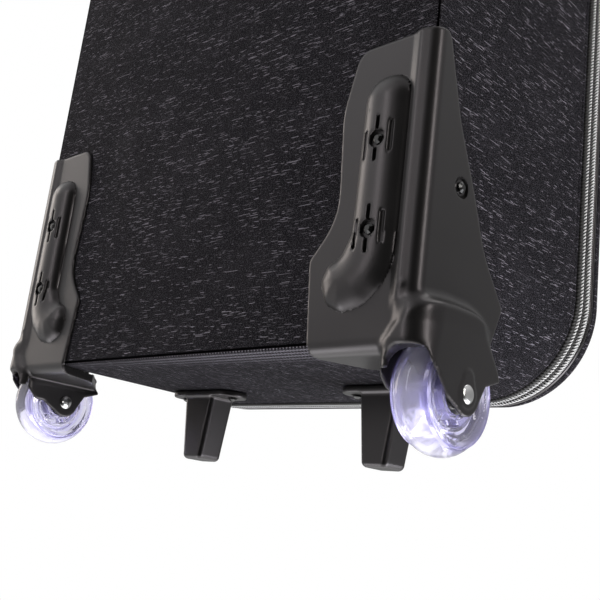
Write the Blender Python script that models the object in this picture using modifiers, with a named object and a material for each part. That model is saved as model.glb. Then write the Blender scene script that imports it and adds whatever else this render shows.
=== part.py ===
"""Rolling gig bag for an 88-key keyboard, standing on its two wheels and two feet.

Metres, +Z up. The back panel faces -Y and lies at y = 0 of the bag's own frame. Everything is
parented to one empty, which moves that frame so that the origin is under the middle of the bag.
"""

import math

import bmesh
import bpy
from mathutils import Matrix, Vector

# Case: width across, height of the upright body, and the rounding of its four corners.
CASE_W = 0.408
CASE_H = 1.400
CORNER_R = 0.069
CORNER_STEPS = 7
BOTTOM_Z = 0.0562
CLEAR = 0.0003

# Body shell: fabric cover, foam board and lining.
BODY_D = 0.1710
COVER_T = 0.0020
FOAM_T = 0.0140
LINING_T = 0.0015
EDGE_R = 0.0060
EDGE_STEPS = 2

# Edge welts and the main zip between body and lid.
WELT_R = 0.0020
PIPING_R = 0.0023
CORD_INSET = 0.0015
CORD_SIDES = 6
TAPE_INSET = 0.0010
TAPE_T = 0.0016
BODY_TAPE_W = 0.0062
LID_TAPE_W = 0.0076
ZIP_GAP = 0.0004

# Lid panel and the hinge line outside its left edge.
LID_D = 0.0129
LID_FOAM_T = 0.0106
LID_EDGE_R = 0.0100
LID_LINING_INSET = 0.0042
HINGE_OUT = 0.0020

# Wheels and axles. Each axle lies a little inside the case's side.
WHEEL_R = 0.0340
WHEEL_HALF = 0.0125
WHEEL_IN = 0.0052
WHEEL_Y = 0.0373
TYRE_STEPS = 28
CORE_R = 0.0200
CORE_HALF = 0.0082
CORE_RIM_T = 0.0022
CORE_WEB_HALF = 0.0016
HUB_R = 0.0134
HUB_HALF = 0.0103
BEARING_R = 0.0110
BEARING_W = 0.0070
RIVET_R = 0.0037
RIVET_HEAD_R = 0.0055
RIVET_HEAD_H = 0.0017
BOSS_R = 0.0062
SMALL_STEPS = 16

# Wheel housings: plate on the back, wall on the side, shelf underneath, hood and two arms.
PLATE_T = 0.0025
WALL_T = 0.0030
SHELF_T = 0.0064
SHELL_EDGE_R = 0.0060
PLATE_H = 0.1828
PLATE_FOOT_W = 0.0730
PLATE_STEP = 0.0006
HOOD_STEP = 0.0003
ARM_T = 0.0025
ARM_CLEAR = 0.0021
ARM_TIP_R = 0.0120
WELL_GAP = 0.0040
HOOD_BEVEL = 0.0060

# Back plate's inner edge: distance in from the case's side, height over its bottom, rounding.
PLATE_EDGE = (
    (0.0460, PLATE_H, 0.012),
    (0.0560, 0.1338, 0.060),
    (0.0600, 0.0728, 0.014),
    (0.0790, 0.0518, 0.004),
)

# Side wall's front edge: depth, height over the case's bottom, rounding.
WALL_EDGE = (
    (0.0080, PLATE_H, 0.006),
    (0.0239, 0.1343, 0.060),
    (0.0426, 0.0958, 0.060),
    (0.0567, 0.0633, 0.060),
    (0.0790, 0.0358, 0.006),
    (0.0660, 0.0038, 0.010),
)

# Hood's outline: depth and height from the axle, rounding.
HOOD_EDGE = (
    (-0.0300, 0.0450, 0.010),
    (-0.0143, 0.0540, 0.014),
    (0.0057, 0.0530, 0.012),
    (0.0167, 0.0420, 0.012),
    (0.0252, 0.0248, 0.020),
    (0.0285, 0.0117, 0),
)
HOOD_BROW = 0.0300

# Shelf's inner edge underneath: distance in from the case's side, depth.
SHELF_EDGE = ((0.0570, 0.0370), (0.0240, 0.0620))

# Long rib on the plate and the bulb it ends in: height over the case's bottom, distance from the
# rib's middle towards the case's middle, half width, share of the full height.
RIDGE_H = 0.0080
RIDGE_IN = 0.0297
RIB_ROOT = 0.0012
RIB_STEPS = 8
RIB_STATIONS = (
    (0.1588, 0.0000, 0.0080, 0.05),
    (0.1558, 0.0000, 0.0135, 0.60),
    (0.1488, 0.0000, 0.0162, 1.00),
    (0.0588, -0.0007, 0.0165, 1.00),
    (0.0498, 0.0008, 0.0190, 1.00),
    (0.0428, 0.0058, 0.0235, 1.00),
    (0.0358, 0.0083, 0.0245, 0.95),
    (0.0278, 0.0100, 0.0200, 0.80),
    (0.0213, 0.0098, 0.0135, 0.50),
    (0.0173, 0.0088, 0.0060, 0.10),
)

# Feet.
FOOT_IN = 0.1083
FOOT_Y = 0.1189
FOOT_BOTTOM_X = 0.0106
FOOT_BOTTOM_Y = 0.0117
FOOT_TOP_X = 0.0176
FOOT_TOP_Y = 0.0121
FOOT_FLANGE_T = 0.0047
FOOT_FLANGE_X = 0.0390
FOOT_FLANGE_Y = 0.0135
FOOT_SCREW_X = 0.0290
FOOT_BEVEL = 0.0022

# Screws through the shell, held by nut plates inside the lining.
SCREW_R = 0.0020
SCREW_HEAD_R = 0.0034
SCREW_HEAD_H = 0.0022
SCREW_STEPS = 10
SINK_R = 0.0044
SINK_D = 0.0030
SIDE_SINK_D = 0.0012
NUT_R = 0.0070
NUT_T = 0.0025
SCREW_END = 0.0010
BACK_SCREW_UP = (0.0628, 0.1169)
SIDE_SCREW_Y = 0.0294
SIDE_SCREW_UP = 0.0948

# Carry handles: a strap hung on two pins, with a round grip.
HANDLE_Y = 0.0950
HANDLE_REACH = 0.0450
SIDE_HANDLE_SPAN = 0.1700
TOP_HANDLE_SPAN = 0.1400
STRAP_R = 0.0036
STRAP_BEND_R = 0.0220
GRIP_R = 0.0060
GRIP_END = 0.0300
EYE_R = 0.0045
EYE_HALF = 0.0060
PIN_R = 0.0024
EAR_T = 0.0030
MOUNT_PLATE_T = 0.0025
MOUNT_HALF_X = 0.0160
MOUNT_HALF_Y = 0.0130

# Sliders and their pulls.
SLIDER_HALF_Y = 0.0055
SLIDER_HALF_Z = 0.0140
SLIDER_T = 0.0022
CROWN_HALF_Y = 0.0012
CROWN_HALF_Z = 0.0095
CROWN_ROOM = 0.0032
CROWN_T = 0.0016
PULL_T = 0.0016
PULL_HALF_Y = 0.0045
PULL_LENGTH = 0.0360
PULL_BAR = 0.0010
PULL_WINDOW_Y = 0.0028
PULL_WINDOW_Z = 0.0112
UPPER_SLIDER_Z = 0.8600
LOWER_SLIDER_Z = 0.7800

# Flat accessory pocket on the lid, with a zip along its right side.
POCKET_W = 0.3000
POCKET_H = 0.4200
POCKET_D = 0.0240
POCKET_Z = 0.7560
POCKET_R = 0.0200
POCKET_T = 0.0015
POCKET_EDGE_R = 0.0070
POCKET_ZIP_END = 0.0450
POCKET_ZIP_W = 0.0078
POCKET_ZIP_Y = 0.0120
POCKET_SLIDER_IN = 0.0150

# Hold-down straps across the inside of the back.
STRAP_W = 0.0380
STRAP_T = 0.0018
STRAP_Z = (0.4200, 1.0900)

# Places that follow from the sizes above.
BODY_FRONT = BODY_D
WELT_Y = BODY_FRONT + CLEAR + WELT_R
BODY_TAPE_Y = WELT_Y + WELT_R + CLEAR
ZIP_Y = BODY_TAPE_Y + BODY_TAPE_W + ZIP_GAP / 2
LID_TAPE_Y = ZIP_Y + ZIP_GAP / 2
PIPING_Y = LID_TAPE_Y + LID_TAPE_W + CLEAR + PIPING_R
LID_BACK = PIPING_Y + PIPING_R + CLEAR
LID_FRONT = LID_BACK + LID_D
HINGE_X = -CASE_W / 2 - HINGE_OUT
TOP_Z = BOTTOM_Z + CASE_H
FOAM_IN = COVER_T + CLEAR
LINING_IN = FOAM_IN + FOAM_T + CLEAR
INSIDE = LINING_IN + LINING_T
PLATE_Y = -CLEAR - PLATE_T
RIDGE_Y = PLATE_Y - RIDGE_H
ARM_IN = WHEEL_HALF + ARM_CLEAR
ARM_OUT = ARM_IN + ARM_T
POCKET_BACK = LID_FRONT + CLEAR
POCKET_FRONT = POCKET_BACK + POCKET_D
POCKET_ZIP_HALF = POCKET_H / 2 - POCKET_ZIP_END
POCKET_SLIDER_Z = POCKET_ZIP_HALF - POCKET_SLIDER_IN
STRAP_BACK = INSIDE + CLEAR
MIDDLE_Y = (POCKET_FRONT + RIDGE_Y) / 2
WHEEL_X = CASE_W / 2 - WHEEL_IN
WELL_R = WHEEL_R + WELL_GAP
RIDGE_X = CASE_W / 2 - RIDGE_IN
FOOT_X = CASE_W / 2 - FOOT_IN
WALL_X = CASE_W / 2 + CLEAR + WALL_T
SHELF_Z = BOTTOM_Z - CLEAR - SHELF_T
PLATE_TOP = BOTTOM_Z + PLATE_H
BACK_SCREW_Z = tuple(BOTTOM_Z + up for up in BACK_SCREW_UP)
SIDE_SCREW_Z = BOTTOM_Z + SIDE_SCREW_UP
SHELL_FRONT = max(y for y, _, _ in WALL_EDGE) + CLEAR
SIDES = {"right": 1, "left": -1}
LID_PIECES = (
    "lid_cover",
    "lid_foam",
    "lid_lining",
    "lid_edge_piping",
    "lid_zip_tape",
    "pocket_pouch",
    "pocket_zip_tape",
    "pocket_slider",
    "pocket_pull",
)


def start_scene():
    """Empties the scene and makes the two collections and the empty that carries the bag."""
    for obj in list(bpy.data.objects):
        bpy.data.objects.remove(obj, do_unlink=True)
    scene = bpy.context.scene.collection
    parts = bpy.data.collections.new("keyboard_gig_bag")
    cutters = bpy.data.collections.new("cutters")
    scene.children.link(parts)
    scene.children.link(cutters)
    bag = bpy.data.objects.new("bag_frame", None)
    bag.location = (0, -MIDDLE_Y, 0)
    parts.objects.link(bag)
    return parts, cutters, bag


PARTS, CUTTERS, BAG = start_scene()


def material(name, colour, roughness, metallic=0.0, alpha=1.0):
    """A Principled material of one colour."""
    made = bpy.data.materials.new(name)
    made.use_nodes = True
    shader = made.node_tree.nodes["Principled BSDF"]
    shader.inputs["Base Color"].default_value = (*colour, 1)
    shader.inputs["Roughness"].default_value = roughness
    shader.inputs["Metallic"].default_value = metallic
    shader.inputs["Alpha"].default_value = alpha
    return made


LOOKS = {
    "cover": ((0.030, 0.030, 0.034), 0.75),
    "foam": ((0.090, 0.090, 0.095), 0.95),
    "lining": ((0.060, 0.060, 0.066), 0.90),
    "trim": ((0.018, 0.018, 0.019), 0.55),
    "tape": ((0.025, 0.025, 0.027), 0.70),
    "moulding": ((0.050, 0.048, 0.047), 0.42),
    "tyre": ((0.540, 0.500, 0.820), 0.12, 0.0, 0.45),
    "core": ((0.720, 0.700, 0.900), 0.15, 0.0, 0.50),
    "steel": ((0.620, 0.620, 0.610), 0.25, 1.0),
    "black_steel": ((0.040, 0.040, 0.042), 0.35, 1.0),
    "webbing": ((0.022, 0.022, 0.024), 0.80),
}


def mesh_from(bm, name):
    """Moves a bmesh into a new mesh."""
    mesh = bpy.data.meshes.new(name)
    bm.to_mesh(mesh)
    bm.free()
    return mesh


def add_object(name, mesh, look=None, at=(0, 0, 0)):
    """Puts a mesh in the bag's frame, as a part with its look or, with none, as a cutter."""
    obj = bpy.data.objects.new(name, mesh)
    obj.location = at
    obj.parent = BAG
    if look is None:
        CUTTERS.objects.link(obj)
        obj.hide_render = True
        obj.display_type = "WIRE"
    else:
        PARTS.objects.link(obj)
        mesh.materials.append(material(name, *LOOKS[look]))
        mesh.shade_smooth()
        mesh.set_sharp_from_angle(angle=math.radians(35))
    return obj


def evaluated_mesh(obj):
    """The object's mesh with its modifiers or its bevel applied and its doubles merged."""
    bpy.context.view_layer.update()
    graph = bpy.context.evaluated_depsgraph_get()
    bm = bmesh.new()
    mesh = bpy.data.meshes.new_from_object(obj.evaluated_get(graph))
    bm.from_mesh(mesh)
    bpy.data.meshes.remove(mesh)
    bmesh.ops.remove_doubles(bm, verts=bm.verts, dist=1e-6)
    return bm


def rounded(corners, steps):
    """An outline through corners (x, y, radius), each rounded by an arc of so many steps."""
    points = []
    for index, (x, y, radius) in enumerate(corners):
        here = Vector((x, y))
        before = (Vector(corners[index - 1][:2]) - here).normalized()
        after = (Vector(corners[(index + 1) % len(corners)][:2]) - here).normalized()
        half = before.angle(after) / 2
        if radius <= 0:
            points.append((x, y))
            continue
        centre = here + (before + after).normalized() * radius / math.sin(half)
        first = here + before * radius / math.tan(half) - centre
        turn = math.pi - 2 * half
        way = 1 if before.cross(after) < 0 else -1
        for step in range(steps + 1):
            spoke = first.copy()
            spoke.rotate(Matrix.Rotation(way * turn * step / steps, 2))
            points.append(tuple(centre + spoke))
    return points


def arc(centre, radius, first, last, steps):
    """Points along an arc, with the angles in degrees."""
    made = []
    for step in range(steps + 1):
        angle = math.radians(first + (last - first) * step / steps)
        made.append((centre[0] + radius * math.cos(angle), centre[1] + radius * math.sin(angle)))
    return made


def case_outline(inset):
    """The bag from the front, drawn in by inset. It starts and ends on the straight left side."""
    half = CASE_W / 2 - inset
    low = BOTTOM_Z + inset
    high = TOP_Z - inset
    radius = CORNER_R - inset
    corners = [(-half, low, radius), (half, low, radius), (half, high, radius), (-half, high, radius)]
    return rounded(corners, CORNER_STEPS)


PLANES = {
    "XY": Matrix.Identity(4),
    "XZ": Matrix(((1, 0, 0, 0), (0, 0, 1, 0), (0, 1, 0, 0), (0, 0, 0, 1))),
    "YZ": Matrix(((0, 0, 1, 0), (1, 0, 0, 0), (0, 1, 0, 0), (0, 0, 0, 1))),
}


def flat_mesh(name, outline, low, high, plane):
    """A flat outline in a plane of the bag, as thick as from low to high across that plane."""
    curve = bpy.data.curves.new(name, "CURVE")
    curve.dimensions = "2D"
    curve.fill_mode = "BOTH"
    curve.extrude = (high - low) / 2
    spline = curve.splines.new("POLY")
    spline.points.add(len(outline) - 1)
    for point, (u, v) in zip(spline.points, outline):
        point.co = (u, v, 0, 1)
    spline.use_cyclic_u = True
    drawn = bpy.data.objects.new(name, curve)
    CUTTERS.objects.link(drawn)
    bm = evaluated_mesh(drawn)
    bpy.data.objects.remove(drawn, do_unlink=True)
    place = PLANES[plane] @ Matrix.Translation((0, 0, (low + high) / 2))
    bmesh.ops.transform(bm, matrix=place, verts=bm.verts)
    bmesh.ops.recalc_face_normals(bm, faces=bm.faces)
    return mesh_from(bm, name)


def box_mesh(name, low, high):
    """A box between two corners."""
    bm = bmesh.new()
    size = Vector(high) - Vector(low)
    place = Matrix.Translation((Vector(low) + Vector(high)) / 2) @ Matrix.Diagonal((*size, 1))
    bmesh.ops.create_cube(bm, size=1, matrix=place)
    return mesh_from(bm, name)


def rod_mesh(name, radius, start, end, steps=SMALL_STEPS):
    """A plain round rod between two points."""
    bm = bmesh.new()
    way = Vector(end) - Vector(start)
    turn = way.to_track_quat("Z", "X").to_matrix().to_4x4()
    place = Matrix.Translation((Vector(start) + Vector(end)) / 2) @ turn
    bmesh.ops.create_cone(
        bm, cap_ends=True, segments=steps, radius1=radius, radius2=radius, depth=way.length, matrix=place
    )
    return mesh_from(bm, name)


def turned_mesh(name, profile, steps, closed):
    """A profile of (radius, height) points, outer side running down, turned round the Z axis."""
    bm = bmesh.new()
    verts = [bm.verts.new((radius, 0, height)) for radius, height in profile]
    for one, other in zip(verts, verts[1:]):
        bm.edges.new((one, other))
    if closed:
        bm.edges.new((verts[-1], verts[0]))
    guide = bpy.data.objects.new(name, mesh_from(bm, name))
    CUTTERS.objects.link(guide)
    screw = guide.modifiers.new("turn", "SCREW")
    screw.steps = steps
    screw.render_steps = steps
    screw.use_merge_vertices = True
    screw.merge_threshold = 0.00001
    bm = evaluated_mesh(guide)
    bpy.data.objects.remove(guide, do_unlink=True)
    bmesh.ops.recalc_face_normals(bm, faces=bm.faces)
    return mesh_from(bm, name)


def placed(mesh, places):
    """One mesh holding a copy of another at each place, as separate solids."""
    bm = bmesh.new()
    for place in places:
        first = len(bm.verts)
        bm.from_mesh(mesh)
        bm.verts.ensure_lookup_table()
        bmesh.ops.transform(bm, matrix=place, verts=bm.verts[first:])
    name = mesh.name
    bpy.data.meshes.remove(mesh)
    return mesh_from(bm, name)


def loft(rings, closed, cap_first=False, cap_last=False):
    """Quads between rings of points, with a face over the first or last ring where asked."""
    bm = bmesh.new()
    rows = [[bm.verts.new(point) for point in ring] for ring in rings]
    count = len(rows[0])
    for row, following in zip(rows, rows[1:]):
        for index in range(count if closed else count - 1):
            other = (index + 1) % count
            bm.faces.new((row[index], row[other], following[other], following[index]))
    if cap_first:
        bm.faces.new(rows[0])
    if cap_last:
        bm.faces.new(rows[-1])
    bmesh.ops.recalc_face_normals(bm, faces=bm.faces)
    return bm


def skin(name, look, bm, wall):
    """An open surface whose walls face out of the bag, given a wall that lies inside it."""
    bm.faces.ensure_lookup_table()
    face = bm.faces[0]
    middle = face.calc_center_median() - Vector((0, 0, BOTTOM_Z + CASE_H / 2))
    if middle.x * face.normal.x + middle.z * face.normal.z < 0:
        bmesh.ops.reverse_faces(bm, faces=bm.faces)
    obj = add_object(name, mesh_from(bm, name), look)
    solidify = obj.modifiers.new("wall", "SOLIDIFY")
    solidify.thickness = wall
    solidify.offset = -1
    solidify.use_even_offset = True
    return obj


def ring(outline, y):
    """An outline of the front view set at a depth in the bag."""
    return [(x, y, z) for x, z in outline]


def edge_rings(inset, y, radius, way):
    """Rings from the wall (way from y) round the rounded edge to the flat face at y."""
    made = []
    for step in range(EDGE_STEPS + 1):
        angle = math.pi / 2 * step / EDGE_STEPS
        depth = radius * (1 - math.sin(angle))
        made.append(ring(case_outline(inset + radius * (1 - math.cos(angle))), y + way * depth))
    return made


def boolean(obj, operation, cutter):
    """Cuts or joins with the exact solver."""
    modifier = obj.modifiers.new(cutter.name, "BOOLEAN")
    modifier.operation = operation
    modifier.solver = "EXACT"
    modifier.object = cutter
    return obj


def cutter(mesh):
    """A mesh as a helper that isn't part of the bag."""
    return add_object(mesh.name, mesh)


def shell_screws():
    """Every screw through the shell: its name, the seat of its head, its way in and its grip."""
    screws = []
    for side_name, side in SIDES.items():
        for level, z in zip(("lower", "upper"), BACK_SCREW_Z):
            seat = Vector((side * RIDGE_X, RIDGE_Y + SINK_D, z))
            name = f"housing_screw_{side_name}_{level}"
            screws.append((name, seat, Vector((0, 1, 0)), INSIDE - seat.y))
        seat = Vector((side * (WALL_X - SIDE_SINK_D), SIDE_SCREW_Y, SIDE_SCREW_Z))
        grip = abs(seat.x) - CASE_W / 2 + INSIDE
        screws.append((f"housing_screw_{side_name}_side", seat, Vector((-side, 0, 0)), grip))
        for place, offset in (("inner", -FOOT_SCREW_X), ("outer", FOOT_SCREW_X)):
            seat = Vector((side * (FOOT_X + offset), FOOT_Y, BOTTOM_Z - CLEAR - FOOT_FLANGE_T))
            name = f"foot_screw_{side_name}_{place}"
            screws.append((name, seat, Vector((0, 0, 1)), BOTTOM_Z + INSIDE - seat.z))
    return screws


def facing(seat, way):
    """The place at seat with its Z axis along way."""
    return Matrix.Translation(seat) @ way.to_track_quat("Z", "X").to_matrix().to_4x4()


def screw_hole_cutter(name, start, end):
    """Holes along every screw, from start to end beyond its seat, as one cutter."""
    places = [facing(seat, way) for _, seat, way, _ in shell_screws()]
    rod = rod_mesh(name, SCREW_R + CLEAR, (0, 0, start), (0, 0, end), SCREW_STEPS)
    return cutter(placed(rod, places))


def body_shell():
    """Cover, foam and lining of the body: three trays, one inside the other, open at the front."""
    holes = screw_hole_cutter("shell_screw_holes", 0.001, 0.060)
    rings = [ring(case_outline(0), BODY_FRONT)] + edge_rings(0, 0, EDGE_R, 1)
    cover = skin("body_cover", "cover", loft(rings, True, cap_last=True), COVER_T)
    boolean(cover, "DIFFERENCE", holes)

    outer = edge_rings(FOAM_IN, FOAM_IN, EDGE_R - FOAM_IN, 1)
    rim = BODY_FRONT - CLEAR
    inner = case_outline(FOAM_IN + FOAM_T)
    rings = [ring(inner, FOAM_IN + FOAM_T), ring(inner, rim), ring(case_outline(FOAM_IN), rim)] + outer
    mesh = mesh_from(loft(rings, True, cap_first=True, cap_last=True), "body_foam")
    boolean(add_object("body_foam", mesh, "foam"), "DIFFERENCE", holes)

    outline = case_outline(LINING_IN)
    rings = [ring(outline, rim), ring(outline, LINING_IN)]
    lining = skin("body_lining", "lining", loft(rings, True, cap_last=True), LINING_T)
    boolean(lining, "DIFFERENCE", holes)


def edge_cord(name, y, radius):
    """A round cord sewn along the whole edge of the case."""
    curve = bpy.data.curves.new(name, "CURVE")
    curve.dimensions = "3D"
    curve.bevel_depth = radius
    curve.bevel_resolution = (CORD_SIDES - 4) // 2
    curve.use_fill_caps = False
    outline = case_outline(CORD_INSET)
    spline = curve.splines.new("POLY")
    spline.points.add(len(outline) - 1)
    for point, (x, z) in zip(spline.points, outline):
        point.co = (x, y, z, 1)
    spline.use_cyclic_u = True
    drawn = bpy.data.objects.new(name, curve)
    CUTTERS.objects.link(drawn)
    bm = evaluated_mesh(drawn)
    bpy.data.objects.remove(drawn, do_unlink=True)
    bmesh.ops.recalc_face_normals(bm, faces=bm.faces)
    return add_object(name, mesh_from(bm, name), "trim")


def main_zip():
    """The two halves of the zip tape, which stop at the hinge strip on the straight left side."""
    outline = case_outline(TAPE_INSET)
    for name, y, width in (
        ("body_zip_tape", BODY_TAPE_Y, BODY_TAPE_W),
        ("lid_zip_tape", LID_TAPE_Y, LID_TAPE_W),
    ):
        skin(name, "tape", loft([ring(outline, y), ring(outline, y + width)], False), TAPE_T)
    left = outline[0][0]
    ends = [(left, outline[-1][1] - CLEAR), (left, outline[0][1] + CLEAR)]
    front = LID_TAPE_Y + LID_TAPE_W
    skin("lid_hinge_strip", "cover", loft([ring(ends, BODY_TAPE_Y), ring(ends, front)], False), TAPE_T)


def lid():
    """Cover, foam and lining of the lid panel."""
    rings = [ring(case_outline(0), LID_BACK)] + edge_rings(0, LID_FRONT, LID_EDGE_R, -1)
    skin("lid_cover", "cover", loft(rings, True, cap_last=True), COVER_T)
    front = LID_FRONT - FOAM_IN
    back = front - LID_FOAM_T
    rings = [ring(case_outline(FOAM_IN), back)]
    rings += edge_rings(FOAM_IN, front, LID_EDGE_R - FOAM_IN, -1)
    foam = mesh_from(loft(rings, True, cap_first=True, cap_last=True), "lid_foam")
    add_object("lid_foam", foam, "foam")
    outline = case_outline(LID_LINING_INSET)
    low = back - CLEAR - LINING_T
    add_object("lid_lining", flat_mesh("lid_lining", outline, low, back - CLEAR, "XZ"), "lining")


def mirrored(outline, side):
    """An outline with its X turned to the given side of the bag."""
    return [(side * x, other) for x, other in outline]


def plate_outline():
    """The housing from behind, right side: waisted above, square at the bag's corner below."""
    edge = [(CASE_W / 2 - across, BOTTOM_Z + up, radius) for across, up, radius in PLATE_EDGE]
    foot = (CASE_W / 2 - PLATE_FOOT_W, SHELF_Z, 0.004)
    return rounded([foot, (WALL_X, SHELF_Z, 0), (WALL_X, PLATE_TOP, 0)] + edge, 3)


def shell_mesh(side):
    """The housing's shell before it is trimmed: a solid corner block with rounded outer edges."""
    mesh = flat_mesh("shell", mirrored(plate_outline(), side), PLATE_Y, SHELL_FRONT, "XZ")
    bm = bmesh.new()
    bm.from_mesh(mesh)
    bpy.data.meshes.remove(mesh)
    edges = []
    for edge in bm.edges:
        at_wall = all(abs(side * v.co.x - WALL_X) < 1e-5 for v in edge.verts)
        at_shelf = all(abs(v.co.z - SHELF_Z) < 1e-5 for v in edge.verts)
        at_front = all(abs(v.co.y - PLATE_Y) < 1e-5 for v in edge.verts)
        if at_front and (at_wall or at_shelf) or at_wall and at_shelf:
            edges.append(edge)
    bmesh.ops.bevel(bm, geom=edges, offset=SHELL_EDGE_R, segments=3, profile=0.5, affect="EDGES")
    bmesh.ops.recalc_face_normals(bm, faces=bm.faces)
    return mesh_from(bm, "shell")


def wall_outline():
    """The housing from the side, as (y, z), reaching well behind the plate and under the shelf."""
    edge = [(y, BOTTOM_Z + up, radius) for y, up, radius in WALL_EDGE]
    behind = PLATE_Y - RIDGE_H
    low = SHELF_Z - SHELF_T
    front = WALL_EDGE[-1][0]
    return rounded([(behind, PLATE_TOP, 0)] + edge + [(front, low, 0), (behind, low, 0)], 2)


def hood_outline():
    """The hood over the wheel, as (y, z)."""
    back = PLATE_Y - HOOD_STEP
    edge = [(WHEEL_Y + y, WHEEL_R + z, radius) for y, z, radius in HOOD_EDGE]
    return rounded([(back, SHELF_Z, 0), (back, WHEEL_R + HOOD_BROW, 0.006)] + edge, 2)


def arm_outline():
    """One arm beside the wheel, as (y, z), with its round tip under the axle."""
    tip = arc((WHEEL_Y, WHEEL_R), ARM_TIP_R, 225, 345, 6)
    front = [(0.0181, 0.0074), HOOD_EDGE[-1][:2], (0.0237, 0.0260), (-0.0353, 0.0260)]
    back = [(-0.0383, 0.0160), (-0.0290, 0.0089), (-0.0188, -0.0024)]
    front, back = ([(WHEEL_Y + y, WHEEL_R + z) for y, z in part] for part in (front, back))
    return back + tip + front


def rib_mesh(side):
    """The long rounded rib on the plate, which ends in an egg-shaped bulb."""
    base = PLATE_Y + RIB_ROOT
    height = RIDGE_H + RIB_ROOT
    rings = []
    for up, shift, half, rise in RIB_STATIONS:
        points = []
        for step in range(RIB_STEPS + 1):
            angle = math.pi * step / RIB_STEPS
            lift = math.sin(angle) ** 0.6 if 0 < step < RIB_STEPS else 0
            across = RIDGE_X - shift - half * math.cos(angle)
            points.append((side * across, base - height * rise * lift, BOTTOM_Z + up))
        rings.append(points)
    return mesh_from(loft(rings, True, cap_first=True, cap_last=True), "rib")


def hood_mesh(side):
    """The hood as a solid with rounded shoulders on its outer face."""
    low, high = sorted((side * (WHEEL_X - ARM_OUT + PLATE_STEP), side * (WHEEL_X + ARM_OUT - PLATE_STEP)))
    mesh = flat_mesh("hood", hood_outline(), low, high, "YZ")
    bm = bmesh.new()
    bm.from_mesh(mesh)
    bpy.data.meshes.remove(mesh)
    outer = high if side > 0 else low
    edges = []
    for edge in bm.edges:
        if all(abs(v.co.x - outer) < 1e-5 and v.co.z > SHELF_Z + CLEAR for v in edge.verts):
            if edge.calc_face_angle(0) > math.radians(60):
                edges.append(edge)
    bmesh.ops.bevel(bm, geom=edges, offset=HOOD_BEVEL, segments=2, profile=0.5, affect="EDGES")
    return mesh_from(bm, "hood")


def housing(side_name):
    """One moulded wheel housing: plate, side wall, shelf, rib, hood and the two arms, in one piece."""
    side = SIDES[side_name]
    name = "wheel_housing_" + side_name
    obj = add_object(name, shell_mesh(side), "moulding")
    obj.name = name

    reach = sorted((0, side * (WALL_X + CLEAR)))
    tools = [("INTERSECT", flat_mesh("wall_shape", wall_outline(), *reach, "YZ"))]
    near = side * (CASE_W / 2 - PLATE_EDGE[-1][0] - CLEAR)
    inner = sorted((near, side * (CASE_W / 2 + CLEAR)))
    low = (inner[0], -CLEAR, BOTTOM_Z - CLEAR)
    high = (inner[1], SHELL_FRONT + CLEAR, PLATE_TOP + CLEAR)
    tools.append(("DIFFERENCE", box_mesh("inside", low, high)))
    edge = [(side * (CASE_W / 2 - across), y) for across, y in SHELF_EDGE]
    foot = side * (CASE_W / 2 - PLATE_FOOT_W)
    front = SHELL_FRONT + CLEAR
    away = [(near, CLEAR), (foot, CLEAR)] + edge + [(edge[-1][0], front), (near, front)]
    low = SHELF_Z - CLEAR
    tools.append(("DIFFERENCE", flat_mesh("shelf_cut", away, low, BOTTOM_Z, "XY")))
    tools.append(("UNION", rib_mesh(side)))
    tools.append(("UNION", hood_mesh(side)))
    well = arc((WHEEL_Y, WHEEL_R), WELL_R, 0, 180, 14)
    well += [(WHEEL_Y - WELL_R, -CLEAR), (WHEEL_Y + WELL_R, -CLEAR)]
    faces = (side * WHEEL_X - ARM_IN, side * WHEEL_X + ARM_IN)
    tools.append(("DIFFERENCE", flat_mesh("well", well, *faces, "YZ")))
    for distance in (-1, 1):
        faces = sorted(side * WHEEL_X + distance * across for across in (ARM_IN, ARM_OUT))
        tools.append(("UNION", flat_mesh("arm", arm_outline(), *faces, "YZ")))
    envelope = flat_mesh("envelope", case_outline(-CLEAR), -CLEAR, SHELL_FRONT + CLEAR, "XZ")
    tools.append(("DIFFERENCE", envelope))
    for way in (-1, 1):
        ends = [(side * WHEEL_X + way * x, WHEEL_Y, WHEEL_R) for x in (HUB_HALF + CLEAR, ARM_IN + 0.001)]
        tools.append(("UNION", rod_mesh("boss", BOSS_R, *ends)))
    axle = [(side * WHEEL_X + end * 0.03, WHEEL_Y, WHEEL_R) for end in (-1, 1)]
    tools.append(("DIFFERENCE", rod_mesh("axle_hole", RIVET_R + CLEAR, *axle)))
    for z in BACK_SCREW_Z:
        ends = [(side * RIDGE_X, y, z) for y in (RIDGE_Y - 0.002, RIDGE_Y + SINK_D)]
        tools.append(("DIFFERENCE", rod_mesh("sink", SINK_R, *ends)))
        ends = [(side * RIDGE_X, y, z) for y in (RIDGE_Y, 0.001)]
        tools.append(("DIFFERENCE", rod_mesh("hole", SCREW_R + CLEAR, *ends, SCREW_STEPS)))
    y, z = SIDE_SCREW_Y, SIDE_SCREW_Z
    ends = [(side * x, y, z) for x in (WALL_X + 0.002, WALL_X - SIDE_SINK_D)]
    tools.append(("DIFFERENCE", rod_mesh("sink", SINK_R, *ends)))
    ends = [(side * x, y, z) for x in (WALL_X, WALL_X - 0.010)]
    tools.append(("DIFFERENCE", rod_mesh("hole", SCREW_R + CLEAR, *ends, SCREW_STEPS)))
    for operation, mesh in tools:
        boolean(obj, operation, cutter(mesh))


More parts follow.
